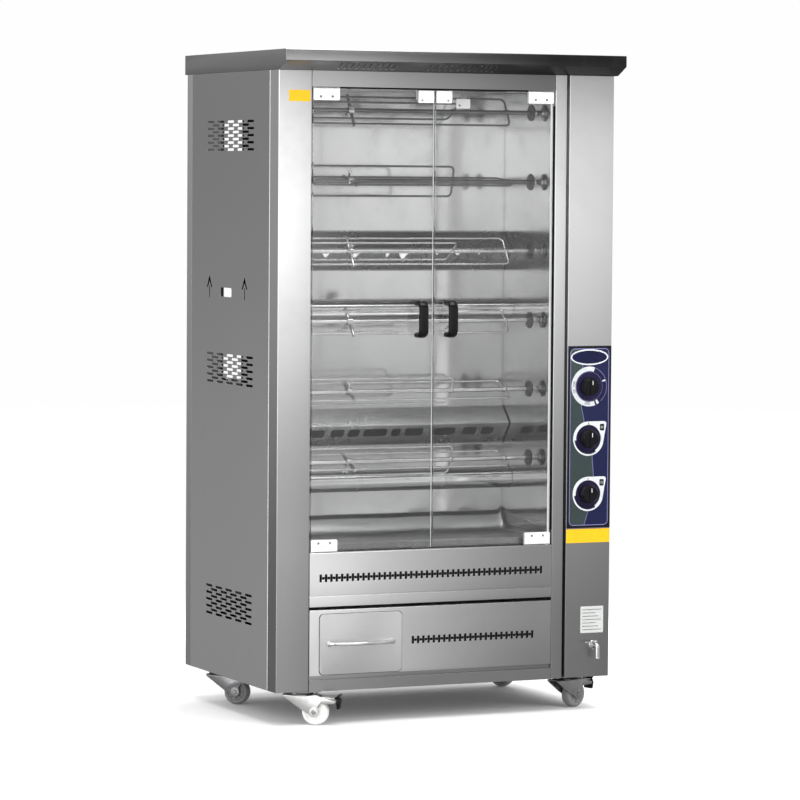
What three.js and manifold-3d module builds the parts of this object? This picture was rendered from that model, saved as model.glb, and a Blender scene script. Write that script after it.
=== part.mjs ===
// Floor-standing gas rotisserie oven: a stainless cabinet on castors with two
// frameless glass doors, six chain-driven spits, two gas burners, a control
// column with three knobs and a fat drawer. Millimetres, +Z up, front faces -Y.

import * as THREE from 'three';
import { mergeVertices } from 'three/addons/utils/BufferGeometryUtils.js';
import Module from 'manifold-3d';

const wasm = await Module();
wasm.setup();

// ---------------------------------------------------------------- dimensions

// Cabinet
const bodyWidth = 1000;
const bodyDepth = 661;
const bodyHeight = 1660;
const castorHeight = 91;
const sheet = 1.5;            // thickness of every stainless sheet
const seam = 0.5;             // gap between neighbouring pieces
const flange = 25;            // depth of a folded return

// Columns of the front, from left to right
const pillarWidth = 96;
const pillarSide = 59;
const jambDepth = 20;
const postWidth = 34;
const columnGap = 9;
const columnWidth = 136;

// Heights of the front above the cabinet's base
const railHeight = 30;
const railReturn = 12.5;
const lowerPanelBottom = 41;
const lowerPanelTop = 218;
const fasciaBottom = 227;
const fasciaGroove = 256;
const fasciaGrooveDepth = 1.5;
const fasciaGrooveWidth = 3;
const fasciaTop = 372;
const headerHeight = 43;

// Canopy
const canopyHeight = 54;
const canopyLip = 30;
const canopyFront = 49;
const canopySide = 12;        // past the column's side; the left side is flush
const canopyRear = 20;
const canopySlotWidth = 6;
const canopySlotLength = 17;
const canopySlotPitch = 17.5;
const canopySlotGroups = [{ fromLeft: 165, count: 10 }, { fromLeft: 428, count: 12 }];

// Cooking chamber
const chamberRecess = 37;     // the side walls stand this far outside the doorway
const chamberDepth = 393;
const trayLift = 5;
const trayFrontLip = 14;
const trayBackLip = 60;

// Vents in the side panels
const ventSlotLength = 47;
const ventSlotHeight = 5.5;
const ventSlotPitch = 71.5;
const ventRowPitch = 9.5;
const ventRows = 9;
const ventSlotsPerRow = 5;
const ventCentreDepth = 339;
const ventHeights = [205, 850, 1488];
const liftHoleWidth = 81;
const liftHoleHeight = 25;
const liftHoleDepth = 368;
const liftHoleLevel = 1060;

// Slots in the front panels
const slotWidth = 5;
const slotHeight = 21;
const slotPitch = 15.7;
const fasciaSlots = 43;
const fasciaSlotLevel = 304;
const lowerSlots = 24;
const lowerSlotLevel = 127;
const lowerSlotStart = 402;   // from the cabinet's left side

// Rear opening
const rearSideFrame = 105;
const rearOpeningBottom = 805;
const rearTopFrame = 60;

// Glass doors
const glassThickness = 6;
const glassSetback = 6;       // front of the glass behind the cabinet's front
const glassSideGap = 5;
const glassMeetingGap = 3;
const glassTopGap = 5;
const glassBottomGap = 4;
const hingeLength = 77;
const hingeHeight = 31;
const hingePlate = 2.5;
const hingeFit = 0.3;
const hingePinRadius = 4;
const hingePinInset = 14;
const hingePinClearance = 0.5;
const hingePinReach = 6;      // beyond the frame's flange

// Door handles
const doorHandleHeight = 99;
const doorHandleWidth = 28;
const doorHandleReach = 40;
const doorHandleGrip = 13;
const doorHandleBend = 15;
const doorHandleFromEdge = 44;
const doorHandleLevel = 996;

// Spits
const spitCount = 6;
const lowestSpit = 600;
const spitPitch = 191.8;
const spitDepth = 185;
const spitRadius = 6;
const spitClearance = 2;
const spitEndPlay = 8;
const discRadius = 23;
const discThickness = 6;
const discFromWall = 46;
const hubRadius = 10;
const hubLength = 12;
const tineRadius = 3;
const tineSpread = 42;        // tine axis to spit axis
const longForkEnd = 97;       // closed end of the long fork from the right wall
const shortForkEnd = 262;     // closed end of the short fork from the right wall
const tineTipGap = 30;        // tine tips to the left wall
const sprocketRadius = 25;
const sprocketThickness = 7;
const sprocketGap = 7;
const spitAngles = [115, 301, 140, 326, 284, 150];   // degrees, from the bottom spit up

// Spit clamps
const clampFromLeft = 229;    // from the left wall
const clampHubRadius = 11;
const clampHubLength = 16;
const clampBarWidth = 10;
const clampBarThickness = 5;
const clampClearance = 0.5;
const thumbScrewOffset = 4;
const thumbScrewRadius = 3;
const thumbScrewLength = 28;
const thumbWingWidth = 16;
const thumbWingHeight = 8;

// Burners
const burnerRadius = 28;
const burnerWall = 2;
const burnerLevels = [531, 1009];
const burnerFromBack = 41;
const burnerHoleClearance = 2;
const nozzleReach = 14;       // of the gas nozzle from the right wall
const hoodHeightBelow = 62;
const hoodHeightAbove = 50;
const hoodReach = 48;
const hoodLevels = [687, 1179];
const hoodSlots = 7;
const hoodSlotLength = 70;
const hoodSlotHeight = 14;

// Control column
const panelBottom = 415;
const panelTop = 918;
const panelThickness = 1;
const knobLevels = [509, 662, 806];
const knobFromSide = 70;
const knobRadius = 26;
const knobFaceRadius = 20;
const knobDepth = 24;
const knobSkirt = 7;
const knobShoulder = 3;
const knobDraft = 1.5;
const knobGripWidth = 9;
const knobGripDepth = 5;
const spindleRadius = 4;
const spindleClearance = 0.5;
const spindleLength = 14;

// Gas pipes inside the column
const pipeRadius = 10;
const branchRadius = 7;
const pipeFromSide = 30;
const pipeDepth = 60;
const valveWidth = 44;
const valveHeight = 38;
const valveDepth = 30;
const inletLevel = 1080;
const inletReach = 23;
const inletClearance = 1;

// Chain drive
const motorLevel = 462;
const motorRadius = 40;
const motorLength = 66;
const gearCaseWidth = 126;
const gearCaseHeight = 84;
const gearCaseThickness = 34;
const gearCaseStandoff = 24;
const standoffRadius = 5;
const chainThickness = 5;
const chainWidth = 5;
const chainClearance = 1;

// Drain tap
const tapFromSide = 49;
const tapLevel = 89;
const tapRadius = 8;
const tapReach = 34;
const tapFlangeRadius = 13;
const tapFlangeThickness = 5.5;
const spoutRadius = 6.5;
const spoutDrop = 36;
const tapLeverLength = 34;
const tapLeverWidth = 8;
const tapLeverThickness = 3;
const tapLeverHubRadius = 5.5;
const tapLeverLift = 1.5;     // above the tap's barrel
const tapStemRadius = 3;
const tapStemHeight = 5;

// Fat drawer
const drawerFromLeft = 126;
const drawerFrontWidth = 242;
const drawerFrontHeight = 163;
const drawerFrontLift = 3;    // above the lower panel's bottom edge
const drawerFrontRadius = 12;
const drawerFrontThickness = 2;
const drawerBoxMargin = 12;
const drawerBoxDepth = 400;
const drawerClearance = 1.5;
const drawerHandleWidth = 203;
const drawerHandleReach = 32;
const drawerHandleHeight = 9;
const drawerHandleThickness = 8;
const drawerHandleFoot = 12;
const drawerHandleLift = 1.5; // above the middle of the drawer's front
const runnerInset = 16;

// Castors
const castorPlateLength = 84;
const castorPlateWidth = 64;
const castorPlateThickness = 3;
const wheelRadius = 36;
const wheelWidth = 30;
const wheelFacets = 24;
const wheelBevel = 5;
const castorTrail = 38;
const axleRadius = 4;
const axleClearance = 0.4;
const axleEnd = 1.5;          // beyond the fork's cheeks
const headRadius = 28;
const headHeight = 6;
const headGap = 0.5;
const kingPinRadius = 5;
const kingPinClearance = 0.4;
const cheekThickness = 3;
const cheekGap = 1.5;
const cheekLead = 50;         // ahead of the swivel
const cheekTip = 11;          // round the axle
const guardLevel = 60;        // lower edge of the cheeks behind the axle
const guardDepth = 6;
const guardReach = 62;        // past the wheel's axle, with a brake
const guardShortReach = 30;   // the same, without a brake
const pedalReach = 66;        // past the wheel's axle
const pedalThickness = 4;
const pedalGap = 2;
const pedalUpturn = 8;
const pedalPivotRadius = 2.5;
const pedalPivotFromSwivel = 21;
const castors = [
  { name: 'front_left', fromLeft: 92, fromFront: 36, swivel: -40, brake: true },
  { name: 'front_right', fromLeft: 894, fromFront: 61, swivel: 22, brake: true },
  { name: 'rear_left', fromLeft: 52, fromFront: 491, swivel: -45, brake: false },
  { name: 'rear_right', fromLeft: 910, fromFront: 560, swivel: -56, brake: false },
];

// ------------------------------------------------- places worked out from them

const halfWidth = bodyWidth / 2;
const base = castorHeight;
const bodyTop = base + bodyHeight;
const shellBottom = base + 2 * seam;
const deckFront = flange + 2 * seam;
const jambFront = deckFront + sheet;
const doorLeft = -halfWidth + pillarWidth;
const columnLeft = halfWidth - columnWidth;
const postRight = columnLeft - columnGap;
const doorRight = postRight - postWidth;
const chamberLeft = doorLeft - chamberRecess;
const chamberRight = doorRight + chamberRecess;
const headerLevel = bodyTop - headerHeight;
const sillLevel = base + fasciaTop;
const meeting = (doorLeft + doorRight) / 2;
const glassBottom = sillLevel + glassBottomGap;
const glassTop = headerLevel - glassTopGap;
const glassMiddle = glassSetback + glassThickness / 2;
const knobX = halfWidth - knobFromSide;
const pipeX = halfWidth - pipeFromSide;
const burnerY = chamberDepth - burnerFromBack;
const sprocketLeft = chamberRight + sheet + sprocketGap;
const spitLevels = Array.from({ length: spitCount }, (_, i) => base + lowestSpit + i * spitPitch);

// -------------------------------------------------------------------- finishes

const finishes = {
  brushedSteel: { color: 0x9a9b9c, roughness: 0.36, metalness: 1 },
  polishedSteel: { color: 0xc4c6c8, roughness: 0.12, metalness: 1 },
  spitSteel: { color: 0xb4b6b8, roughness: 0.22, metalness: 1 },
  burnerSteel: { color: 0x8c8b88, roughness: 0.34, metalness: 1 },
  chrome: { color: 0xd6d8da, roughness: 0.08, metalness: 1 },
  zinc: { color: 0xb8babb, roughness: 0.3, metalness: 1 },
  glass: { color: 0xdfe6e4, roughness: 0.03, metalness: 0, transparent: true, opacity: 0.25 },
  blackPlastic: { color: 0x141417, roughness: 0.3, metalness: 0 },
  nylon: { color: 0xe6e6e2, roughness: 0.45, metalness: 0 },
  panelPrint: { color: 0x1d2a5c, roughness: 0.3, metalness: 0 },
  castMotor: { color: 0x5a6068, roughness: 0.55, metalness: 0.4 },
  brass: { color: 0xb08d4a, roughness: 0.35, metalness: 1 },
};

// --------------------------------------------------------------------- helpers

const cabinet = new THREE.Group();

function addPart(name, geometry, finish, parent = cabinet) {
  const mesh = new THREE.Mesh(geometry, new THREE.MeshStandardMaterial(finishes[finish]));
  mesh.name = name;
  parent.add(mesh);
  return mesh;
}

function solidOf(geometry) {
  const bare = geometry.clone();
  bare.deleteAttribute('normal');
  bare.deleteAttribute('uv');
  const merged = mergeVertices(bare);
  return new wasm.Manifold(new wasm.Mesh({
    numProp: 3,
    vertProperties: merged.attributes.position.array,
    triVerts: Uint32Array.from(merged.index.array),
  }));
}

function geometryOf(solid) {
  const mesh = solid.getMesh();
  const geometry = new THREE.BufferGeometry();
  geometry.setAttribute('position', new THREE.BufferAttribute(mesh.vertProperties, 3));
  geometry.setIndex(new THREE.BufferAttribute(mesh.triVerts, 1));
  return geometry;
}

function join(...pieces) {
  return geometryOf(pieces.map(solidOf).reduce((whole, piece) => whole.add(piece)));
}

function cut(stock, ...tools) {
  return geometryOf(tools.map(solidOf).reduce((whole, tool) => whole.subtract(tool), solidOf(stock)));
}

function block(x0, x1, y0, y1, z0, z1) {
  const geometry = new THREE.BoxGeometry(x1 - x0, y1 - y0, z1 - z0);
  return geometry.translate((x0 + x1) / 2, (y0 + y1) / 2, (z0 + z1) / 2);
}

// Round bars along each axis: start and end on that axis, then the other two places.
function rodX(radius, x0, x1, y, z, sides = 10) {
  const geometry = new THREE.CylinderGeometry(radius, radius, x1 - x0, sides);
  return geometry.rotateZ(-Math.PI / 2).translate((x0 + x1) / 2, y, z);
}

function rodY(radius, y0, y1, x, z, sides = 10) {
  const geometry = new THREE.CylinderGeometry(radius, radius, y1 - y0, sides);
  return geometry.translate(x, (y0 + y1) / 2, z);
}

function rodZ(radius, z0, z1, x, y, sides = 10) {
  const geometry = new THREE.CylinderGeometry(radius, radius, z1 - z0, sides);
  return geometry.rotateX(Math.PI / 2).translate(x, y, (z0 + z1) / 2);
}

function outline(points) {
  return new THREE.Shape(points.map(([a, b]) => new THREE.Vector2(a, b)));
}

// Section of a folded sheet: the given line, thickened to its left.
function folded(points, thickness = sheet) {
  const line = points.map(([a, b]) => new THREE.Vector2(a, b));
  const normals = line.slice(1).map((point, i) => {
    const along = point.clone().sub(line[i]).normalize();
    return new THREE.Vector2(-along.y, along.x);
  });
  const inner = line.map((point, i) => {
    const before = normals[Math.max(i - 1, 0)];
    const after = normals[Math.min(i, normals.length - 1)];
    const mitre = before.clone().add(after).normalize();
    return point.clone().addScaledVector(mitre, thickness / mitre.dot(after));
  });
  return new THREE.Shape([...line, ...inner.reverse()]);
}

function roundedRectangle(a0, a1, b0, b1, radius, steps = 3) {
  const corners = [[a1, b1, 0], [a0, b1, 1], [a0, b0, 2], [a1, b0, 3]];
  const points = corners.flatMap(([a, b, turn]) => {
    const ca = a - Math.sign(a - (a0 + a1) / 2) * radius;
    const cb = b - Math.sign(b - (b0 + b1) / 2) * radius;
    return Array.from({ length: steps + 1 }, (_, i) => {
      const angle = (turn + i / steps) * Math.PI / 2;
      return [ca + radius * Math.cos(angle), cb + radius * Math.sin(angle)];
    });
  });
  return outline(points);
}

function extrude(shape, depth) {
  return new THREE.ExtrudeGeometry(shape, { depth, bevelEnabled: false });
}

// An outline in (y, z) drawn out along X, in (x, z) along Y, and in (x, y) along Z.
function alongX(shape, x0, x1) {
  return extrude(shape, x1 - x0).rotateX(Math.PI / 2).rotateZ(Math.PI / 2).translate(x0, 0, 0);
}

function alongY(shape, y0, y1) {
  return extrude(shape, y1 - y0).rotateX(Math.PI / 2).translate(0, y1, 0);
}

function alongZ(shape, z0, z1) {
  return extrude(shape, z1 - z0).translate(0, 0, z0);
}

// --------------------------------------------------------------- cabinet shell

function frontLeftPillar() {
  const section = folded([[-halfWidth, pillarSide], [-halfWidth, 0], [doorLeft, 0], [doorLeft, jambDepth]]);
  return alongZ(section, shellBottom, bodyTop - seam);
}

function frontRightPost() {
  const section = folded([[doorRight, flange], [doorRight, 0], [postRight, 0], [postRight, flange]]);
  return alongZ(section, shellBottom, bodyTop - seam);
}

function controlColumnFront() {
  const section = folded([[columnLeft, flange], [columnLeft, 0], [halfWidth, 0], [halfWidth, flange]]);
  const spindleHoles = knobLevels.map((level) => {
    return rodY(spindleRadius + spindleClearance, -sheet, 2 * sheet, knobX, base + level);
  });
  const tapHole = rodY(tapRadius + seam, -sheet, 2 * sheet, halfWidth - tapFromSide, base + tapLevel);
  return cut(alongZ(section, shellBottom, bodyTop - seam), ...spindleHoles, tapHole);
}

// Staggered rows of slots: every second row has one slot fewer.
function ventSlots(x, level) {
  const slots = [];
  for (let row = 0; row < ventRows; row += 1) {
    const count = ventSlotsPerRow - (row % 2);
    const z = base + level + (row - (ventRows - 1) / 2) * ventRowPitch;
    for (let i = 0; i < count; i += 1) {
      const y = ventCentreDepth + (i - (count - 1) / 2) * ventSlotPitch;
      slots.push(block(
        x - 2 * sheet, x + 2 * sheet,
        y - ventSlotLength / 2, y + ventSlotLength / 2,
        z - ventSlotHeight / 2, z + ventSlotHeight / 2,
      ));
    }
  }
  return slots;
}

function sidePanel(side, frontEdge) {
  const outer = side * halfWidth;
  const inner = outer - side * sheet;
  const stock = block(
    Math.min(outer, inner), Math.max(outer, inner),
    frontEdge, bodyDepth - sheet - seam,
    shellBottom, bodyTop - seam,
  );
  if (side > 0) {
    return cut(stock, ...ventSlots(outer, ventHeights.at(-1)));
  }
  const liftHole = block(
    outer - sheet, inner + sheet,
    liftHoleDepth - liftHoleWidth / 2, liftHoleDepth + liftHoleWidth / 2,
    base + liftHoleLevel - liftHoleHeight / 2, base + liftHoleLevel + liftHoleHeight / 2,
  );
  return cut(stock, liftHole, ...ventHeights.flatMap((level) => ventSlots(outer, level)));
}

function rearCover() {
  const openingSide = halfWidth - rearSideFrame;
  const front = bodyDepth - sheet;
  const opening = block(
    -openingSide, openingSide,
    front - sheet, bodyDepth + sheet,
    base + rearOpeningBottom, bodyTop - rearTopFrame,
  );
  const inletRadius = pipeRadius + inletClearance;
  const inletHole = rodY(inletRadius, front - sheet, bodyDepth + sheet, pipeX, base + inletLevel, 16);
  const stock = block(-halfWidth, halfWidth, front, bodyDepth, shellBottom, bodyTop - seam);
  return cut(stock, opening, inletHole);
}

function canopy() {
  const top = bodyTop + canopyHeight;
  const front = -canopyFront;
  const rear = bodyDepth + canopyRear;
  const outer = outline([
    [front, top - canopyLip],
    [0, bodyTop],
    [rear, bodyTop],
    [rear, top],
    [front, top],
  ]);
  const hollow = outline([
    [front + sheet, top - canopyLip + sheet],
    [sheet, bodyTop + sheet],
    [rear - sheet, bodyTop + sheet],
    [rear - sheet, top - sheet],
    [front + sheet, top - sheet],
  ]);
  const right = halfWidth + canopySide;
  const mouth = block(
    -halfWidth + flange, halfWidth - flange,
    flange, bodyDepth - flange,
    bodyTop - sheet, bodyTop + 2 * sheet,
  );
  return cut(
    alongX(outer, -halfWidth, right),
    alongX(hollow, -halfWidth + sheet, right - sheet),
    mouth,
    ...canopySlots(),
  );
}

// Hot air leaves through slots in the sloping underside of the canopy's front.
function canopySlots() {
  const middle = -canopyFront / 2;
  return canopySlotGroups.flatMap(({ fromLeft, count }) => Array.from({ length: count }, (_, i) => {
    const x = -halfWidth + fromLeft + i * canopySlotPitch;
    return block(
      x - canopySlotWidth / 2, x + canopySlotWidth / 2,
      middle - canopySlotLength / 2, middle + canopySlotLength / 2,
      bodyTop, bodyTop + canopyHeight - canopyLip + sheet,
    );
  }));
}

function castorPlace({ fromLeft, fromFront }) {
  return { x: -halfWidth + fromLeft, y: fromFront };
}

function baseChassis() {
  const inside = halfWidth - sheet - seam;
  const rear = bodyDepth - sheet - seam;
  const rail = folded([
    [deckFront + sheet, base],
    [0, base],
    [0, base + railHeight],
    [railReturn, base + railHeight],
  ].reverse());
  const drawerLeft = -halfWidth + drawerFromLeft;
  const runnerTop = base + lowerPanelBottom + drawerFrontLift + drawerBoxMargin - seam;
  const runnerPlaces = [drawerLeft + drawerBoxMargin + runnerInset,
    drawerLeft + drawerFrontWidth - drawerBoxMargin - runnerInset];
  const pieces = [
    block(-inside, inside, deckFront, rear, base, base + sheet),
    alongX(rail, doorLeft + seam, doorRight - seam),
    block(-inside, -inside + sheet, pillarSide + seam, rear, base, base + railHeight),
    block(inside - sheet, inside, pillarSide + seam, rear, base, base + railHeight),
    block(-inside, inside, rear - sheet, rear, base, base + railHeight),
    ...runnerPlaces.map((x) => {
      return block(x - sheet / 2, x + sheet / 2, deckFront, deckFront + drawerBoxDepth, base, runnerTop);
    }),
    ...castors.flatMap((castor) => {
      const { x, y } = castorPlace(castor);
      const plate = block(
        x - castorPlateLength / 2, x + castorPlateLength / 2,
        y - castorPlateWidth / 2, y + castorPlateWidth / 2,
        base - castorPlateThickness, base + seam / 2,
      );
      const pinBottom = base - castorPlateThickness - headGap - headHeight;
      return [plate, rodZ(kingPinRadius, pinBottom, base, x, y)];
    }),
  ];
  return join(...pieces);
}

// ------------------------------------------------------- panels under the doors

function frontSlots(start, count, level) {
  const slots = [];
  for (let i = 0; i < count; i += 1) {
    const x = start + i * slotPitch;
    slots.push(block(
      x - slotWidth / 2, x + slotWidth / 2,
      -sheet, 2 * sheet,
      base + level - slotHeight / 2, base + level + slotHeight / 2,
    ));
  }
  return slots;
}

function hingePinX(side) {
  return side < 0 ? doorLeft + hingePinInset : doorRight - hingePinInset;
}

function hingePinHoles(z) {
  return [-1, 1].map((side) => {
    const radius = hingePinRadius + hingePinClearance;
    return rodZ(radius, z - 2 * sheet, z + 2 * sheet, hingePinX(side), glassMiddle);
  });
}

function ventFascia() {
  const groove = base + fasciaGroove;
  const section = folded([
    [flange, base + fasciaBottom],
    [0, base + fasciaBottom],
    [0, groove - fasciaGrooveWidth / 2],
    [fasciaGrooveDepth, groove - fasciaGrooveWidth / 2],
    [fasciaGrooveDepth, groove + fasciaGrooveWidth / 2],
    [0, groove + fasciaGrooveWidth / 2],
    [0, sillLevel],
    [flange, sillLevel],
  ].reverse());
  const stock = alongX(section, doorLeft + seam, doorRight - seam);
  const firstSlot = meeting - (fasciaSlots - 1) / 2 * slotPitch;
  return cut(stock, ...frontSlots(firstSlot, fasciaSlots, fasciaSlotLevel), ...hingePinHoles(sillLevel));
}

function drawerFrame() {
  const left = -halfWidth + drawerFromLeft;
  const bottom = base + lowerPanelBottom + drawerFrontLift;
  return {
    left,
    right: left + drawerFrontWidth,
    bottom,
    top: bottom + drawerFrontHeight,
    boxLeft: left + drawerBoxMargin,
    boxRight: left + drawerFrontWidth - drawerBoxMargin,
    boxBottom: bottom + drawerBoxMargin,
    boxTop: bottom + drawerFrontHeight - drawerBoxMargin,
  };
}

function lowerFrontPanel() {
  const section = folded([
    [jambDepth, base + lowerPanelBottom],
    [0, base + lowerPanelBottom],
    [0, base + lowerPanelTop],
    [jambDepth, base + lowerPanelTop],
  ].reverse());
  const { boxLeft, boxRight, boxBottom, boxTop } = drawerFrame();
  const drawerMouth = block(
    boxLeft - drawerClearance, boxRight + drawerClearance,
    -sheet, 2 * sheet,
    boxBottom - drawerClearance, boxTop + drawerClearance,
  );
  const slots = frontSlots(-halfWidth + lowerSlotStart, lowerSlots, lowerSlotLevel);
  return cut(alongX(section, doorLeft + 2 * seam, doorRight - 2 * seam), drawerMouth, ...slots);
}

// --------------------------------------------------------------------- chamber

function chamberSideWall(side) {
  const edge = side < 0 ? doorLeft : doorRight;
  const wall = side < 0 ? chamberLeft : chamberRight;
  const back = chamberDepth - seam;
  const line = [[edge + side * sheet, jambFront], [wall, jambFront], [wall, back]];
  const section = folded(side < 0 ? line.reverse() : line, -sheet);
  const holes = spitLevels.map((z) => {
    return rodX(spitRadius + spitClearance, wall - 3 * sheet, wall + 3 * sheet, spitDepth, z);
  });
  if (side > 0) {
    burnerLevels.forEach((level) => {
      const radius = burnerRadius + burnerHoleClearance;
      holes.push(rodX(radius, wall - 3 * sheet, wall + 3 * sheet, burnerY, base + level, 16));
    });
  }
  return cut(alongZ(section, sillLevel + sheet, headerLevel - sheet), ...holes);
}

function chamberBackWall() {
  return block(
    chamberLeft - sheet, chamberRight + sheet,
    chamberDepth, chamberDepth + sheet,
    sillLevel, headerLevel,
  );
}

function chamberRoof() {
  const section = folded([
    [flange, headerLevel],
    [0, headerLevel],
    [0, bodyTop - seam],
    [flange, bodyTop - seam],
  ].reverse());
  const header = alongX(section, doorLeft + seam, doorRight - seam);
  const ceiling = block(
    chamberLeft - sheet, chamberRight + sheet,
    deckFront, chamberDepth + sheet,
    headerLevel + seam, headerLevel + seam + sheet,
  );
  const tongue = block(
    doorLeft + seam, doorRight - seam,
    sheet / 2, deckFront + sheet,
    headerLevel + seam, headerLevel + seam + sheet,
  );
  return cut(join(header, ceiling, tongue), ...hingePinHoles(headerLevel));
}

function dripTray() {
  const bottom = sillLevel + trayLift;
  const front = jambFront + seam;
  const back = chamberDepth - seam;
  const left = chamberLeft + seam;
  const right = chamberRight - seam;
  const rim = outline([
    [front, bottom],
    [back, bottom],
    [back, bottom + trayBackLip],
    [front, bottom + trayFrontLip],
  ]);
  const well = outline([
    [front + sheet, bottom + sheet],
    [back - sheet, bottom + sheet],
    [back - sheet, bottom + 2 * trayBackLip],
    [front + sheet, bottom + 2 * trayBackLip],
  ]);
  return cut(alongX(rim, left, right), alongX(well, left + sheet, right - sheet));
}

function burnerHood(level) {
  const ridge = chamberDepth - hoodReach;
  const wall = chamberDepth - seam - sheet;
  const z = base + level;
  const section = folded([
    [wall, z - hoodHeightBelow],
    [ridge, z],
    [wall, z + hoodHeightAbove],
  ].reverse());
  const left = chamberLeft + seam;
  const right = chamberRight - seam;
  const pitch = (right - left) / (hoodSlots + 1);
  const slots = Array.from({ length: hoodSlots }, (_, i) => {
    const x = left + (i + 1) * pitch;
    return block(
      x - hoodSlotLength / 2, x + hoodSlotLength / 2,
      ridge - sheet, wall + sheet,
      z - hoodHeightBelow / 2 - hoodSlotHeight / 2, z - hoodHeightBelow / 2 + hoodSlotHeight / 2,
    );
  });
  return cut(alongX(section, left, right), ...slots);
}

function burnerTube(level) {
  const left = chamberLeft + seam;
  const right = chamberRight + sheet + burnerRadius;
  const z = base + level;
  const outer = rodX(burnerRadius, left, right, burnerY, z, 20);
  return cut(outer, rodX(burnerRadius - burnerWall, left + burnerWall, right + burnerWall, burnerY, z, 20));
}

// ----------------------------------------------------------------------- doors

function doorEdges(side) {
  const outer = side < 0 ? doorLeft + glassSideGap : doorRight - glassSideGap;
  const inner = meeting + side * glassMeetingGap / 2;
  return { outer, inner };
}

function doorGlass(side) {
  const { outer, inner } = doorEdges(side);
  const edgeRadius = glassThickness / 2;
  const pane = roundedRectangle(
    Math.min(outer, inner), Math.max(outer, inner), glassBottom, glassTop, edgeRadius,
  );
  return alongY(pane, glassSetback, glassSetback + glassThickness);
}

// A plate on each face of the glass, joined across its edge, with the pivot pin outside.
function doorHinge(side, end) {
  const outer = doorEdges(side).outer;
  const inner = outer - side * hingeLength;
  const edge = end > 0 ? glassTop : glassBottom;
  const rim = edge + end * (hingeFit + hingePlate);
  const foot = edge - end * hingeHeight;
  const back = glassSetback + glassThickness;
  const x0 = Math.min(outer, inner);
  const x1 = Math.max(outer, inner);
  const stock = block(
    x0, x1,
    glassSetback - hingeFit - hingePlate, back + hingeFit + hingePlate,
    Math.min(rim, foot), Math.max(rim, foot),
  );
  const slitTop = edge + end * hingeFit;
  const slitFoot = foot - end * sheet;
  const slit = block(
    x0 - sheet, x1 + sheet,
    glassSetback - hingeFit, back + hingeFit,
    Math.min(slitTop, slitFoot), Math.max(slitTop, slitFoot),
  );
  const frameEdge = end > 0 ? headerLevel : sillLevel;
  const tip = frameEdge + end * (sheet + hingePinReach);
  const pinRoot = rim - end * hingePlate / 2;
  const pin = rodZ(hingePinRadius, Math.min(tip, pinRoot), Math.max(tip, pinRoot), hingePinX(side), glassMiddle);
  return join(cut(stock, slit), pin);
}

function doorHandle(side) {
  const x = meeting + side * doorHandleFromEdge;
  const z = base + doorHandleLevel;
  const half = doorHandleHeight / 2;
  const back = glassSetback - hingeFit;
  const front = back - doorHandleReach;
  const bow = folded([
    [back, z + half],
    [front + doorHandleBend, z + half],
    [front, z + half - doorHandleBend],
    [front, z - half + doorHandleBend],
    [front + doorHandleBend, z - half],
    [back, z - half],
  ], doorHandleGrip);
  return alongX(bow, x - doorHandleWidth / 2, x + doorHandleWidth / 2);
}

// ----------------------------------------------------------------------- spits

// Spits and clamps are drawn with the spit's axis on X, and turned into place.
function forkEnd(fromWall) {
  return chamberRight - fromWall;
}

function fork(endX, spread, turned) {
  const tip = chamberLeft + tineTipGap;
  const tines = [-1, 1].map((side) => {
    return turned
      ? rodX(tineRadius, tip, endX + tineRadius, side * spread, 0, 6)
      : rodX(tineRadius, tip, endX + tineRadius, 0, side * spread, 6);
  });
  const reach = spread + tineRadius;
  const bar = turned
    ? rodY(tineRadius, -reach, reach, endX, 0, 6)
    : rodZ(tineRadius, -reach, reach, endX, 0, 6);
  return [...tines, bar];
}

function spit() {
  const discLeft = chamberRight - discFromWall;
  return join(
    rodX(spitRadius, chamberLeft - spitEndPlay, sprocketLeft + sprocketThickness, 0, 0, 8),
    rodX(discRadius, discLeft, discLeft + discThickness, 0, 0, 16),
    rodX(hubRadius, discLeft + discThickness / 2, discLeft + discThickness + hubLength, 0, 0, 8),
    rodX(sprocketRadius, sprocketLeft, sprocketLeft + sprocketThickness, 0, 0, 16),
    ...fork(forkEnd(longForkEnd), tineSpread, false),
    ...fork(forkEnd(shortForkEnd), tineSpread, true),
  );
}

function spitClamp() {
  const x = chamberLeft + clampFromLeft;
  const hub = rodX(clampHubRadius, x - clampHubLength / 2, x + clampHubLength / 2, 0, 0);
  const reach = tineSpread + tineRadius + clampBarThickness;
  const bar = block(
    x - clampBarThickness / 2, x + clampBarThickness / 2,
    -clampBarWidth / 2, clampBarWidth / 2,
    -reach, reach,
  );
  const bore = rodX(spitRadius + clampClearance, x - clampHubLength, x + clampHubLength, 0, 0);
  const tineHoles = [-1, 1].map((side) => {
    return rodX(tineRadius + clampClearance, x - clampHubLength, x + clampHubLength, 0, side * tineSpread, 8);
  });
  const screwX = x - thumbScrewOffset;
  const screw = rodY(thumbScrewRadius, -thumbScrewLength, -spitRadius - clampClearance, screwX, 0, 8);
  const wing = block(
    screwX - thumbWingWidth / 2, screwX + thumbWingWidth / 2,
    -thumbScrewLength - thumbWingHeight, -thumbScrewLength + thumbScrewRadius,
    -clampBarThickness / 2, clampBarThickness / 2,
  );
  return join(cut(join(hub, bar), bore, ...tineHoles), screw, wing);
}

// -------------------------------------------------------------- control column

function controlPanelPlate() {
  const stock = block(
    columnLeft + 2 * seam, halfWidth - 2 * seam,
    -seam - panelThickness, -seam,
    base + panelBottom, base + panelTop,
  );
  const holes = knobLevels.map((level) => {
    return rodY(spindleRadius + spindleClearance, -2 * panelThickness - seam, 0, knobX, base + level);
  });
  return cut(stock, ...holes);
}

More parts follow.
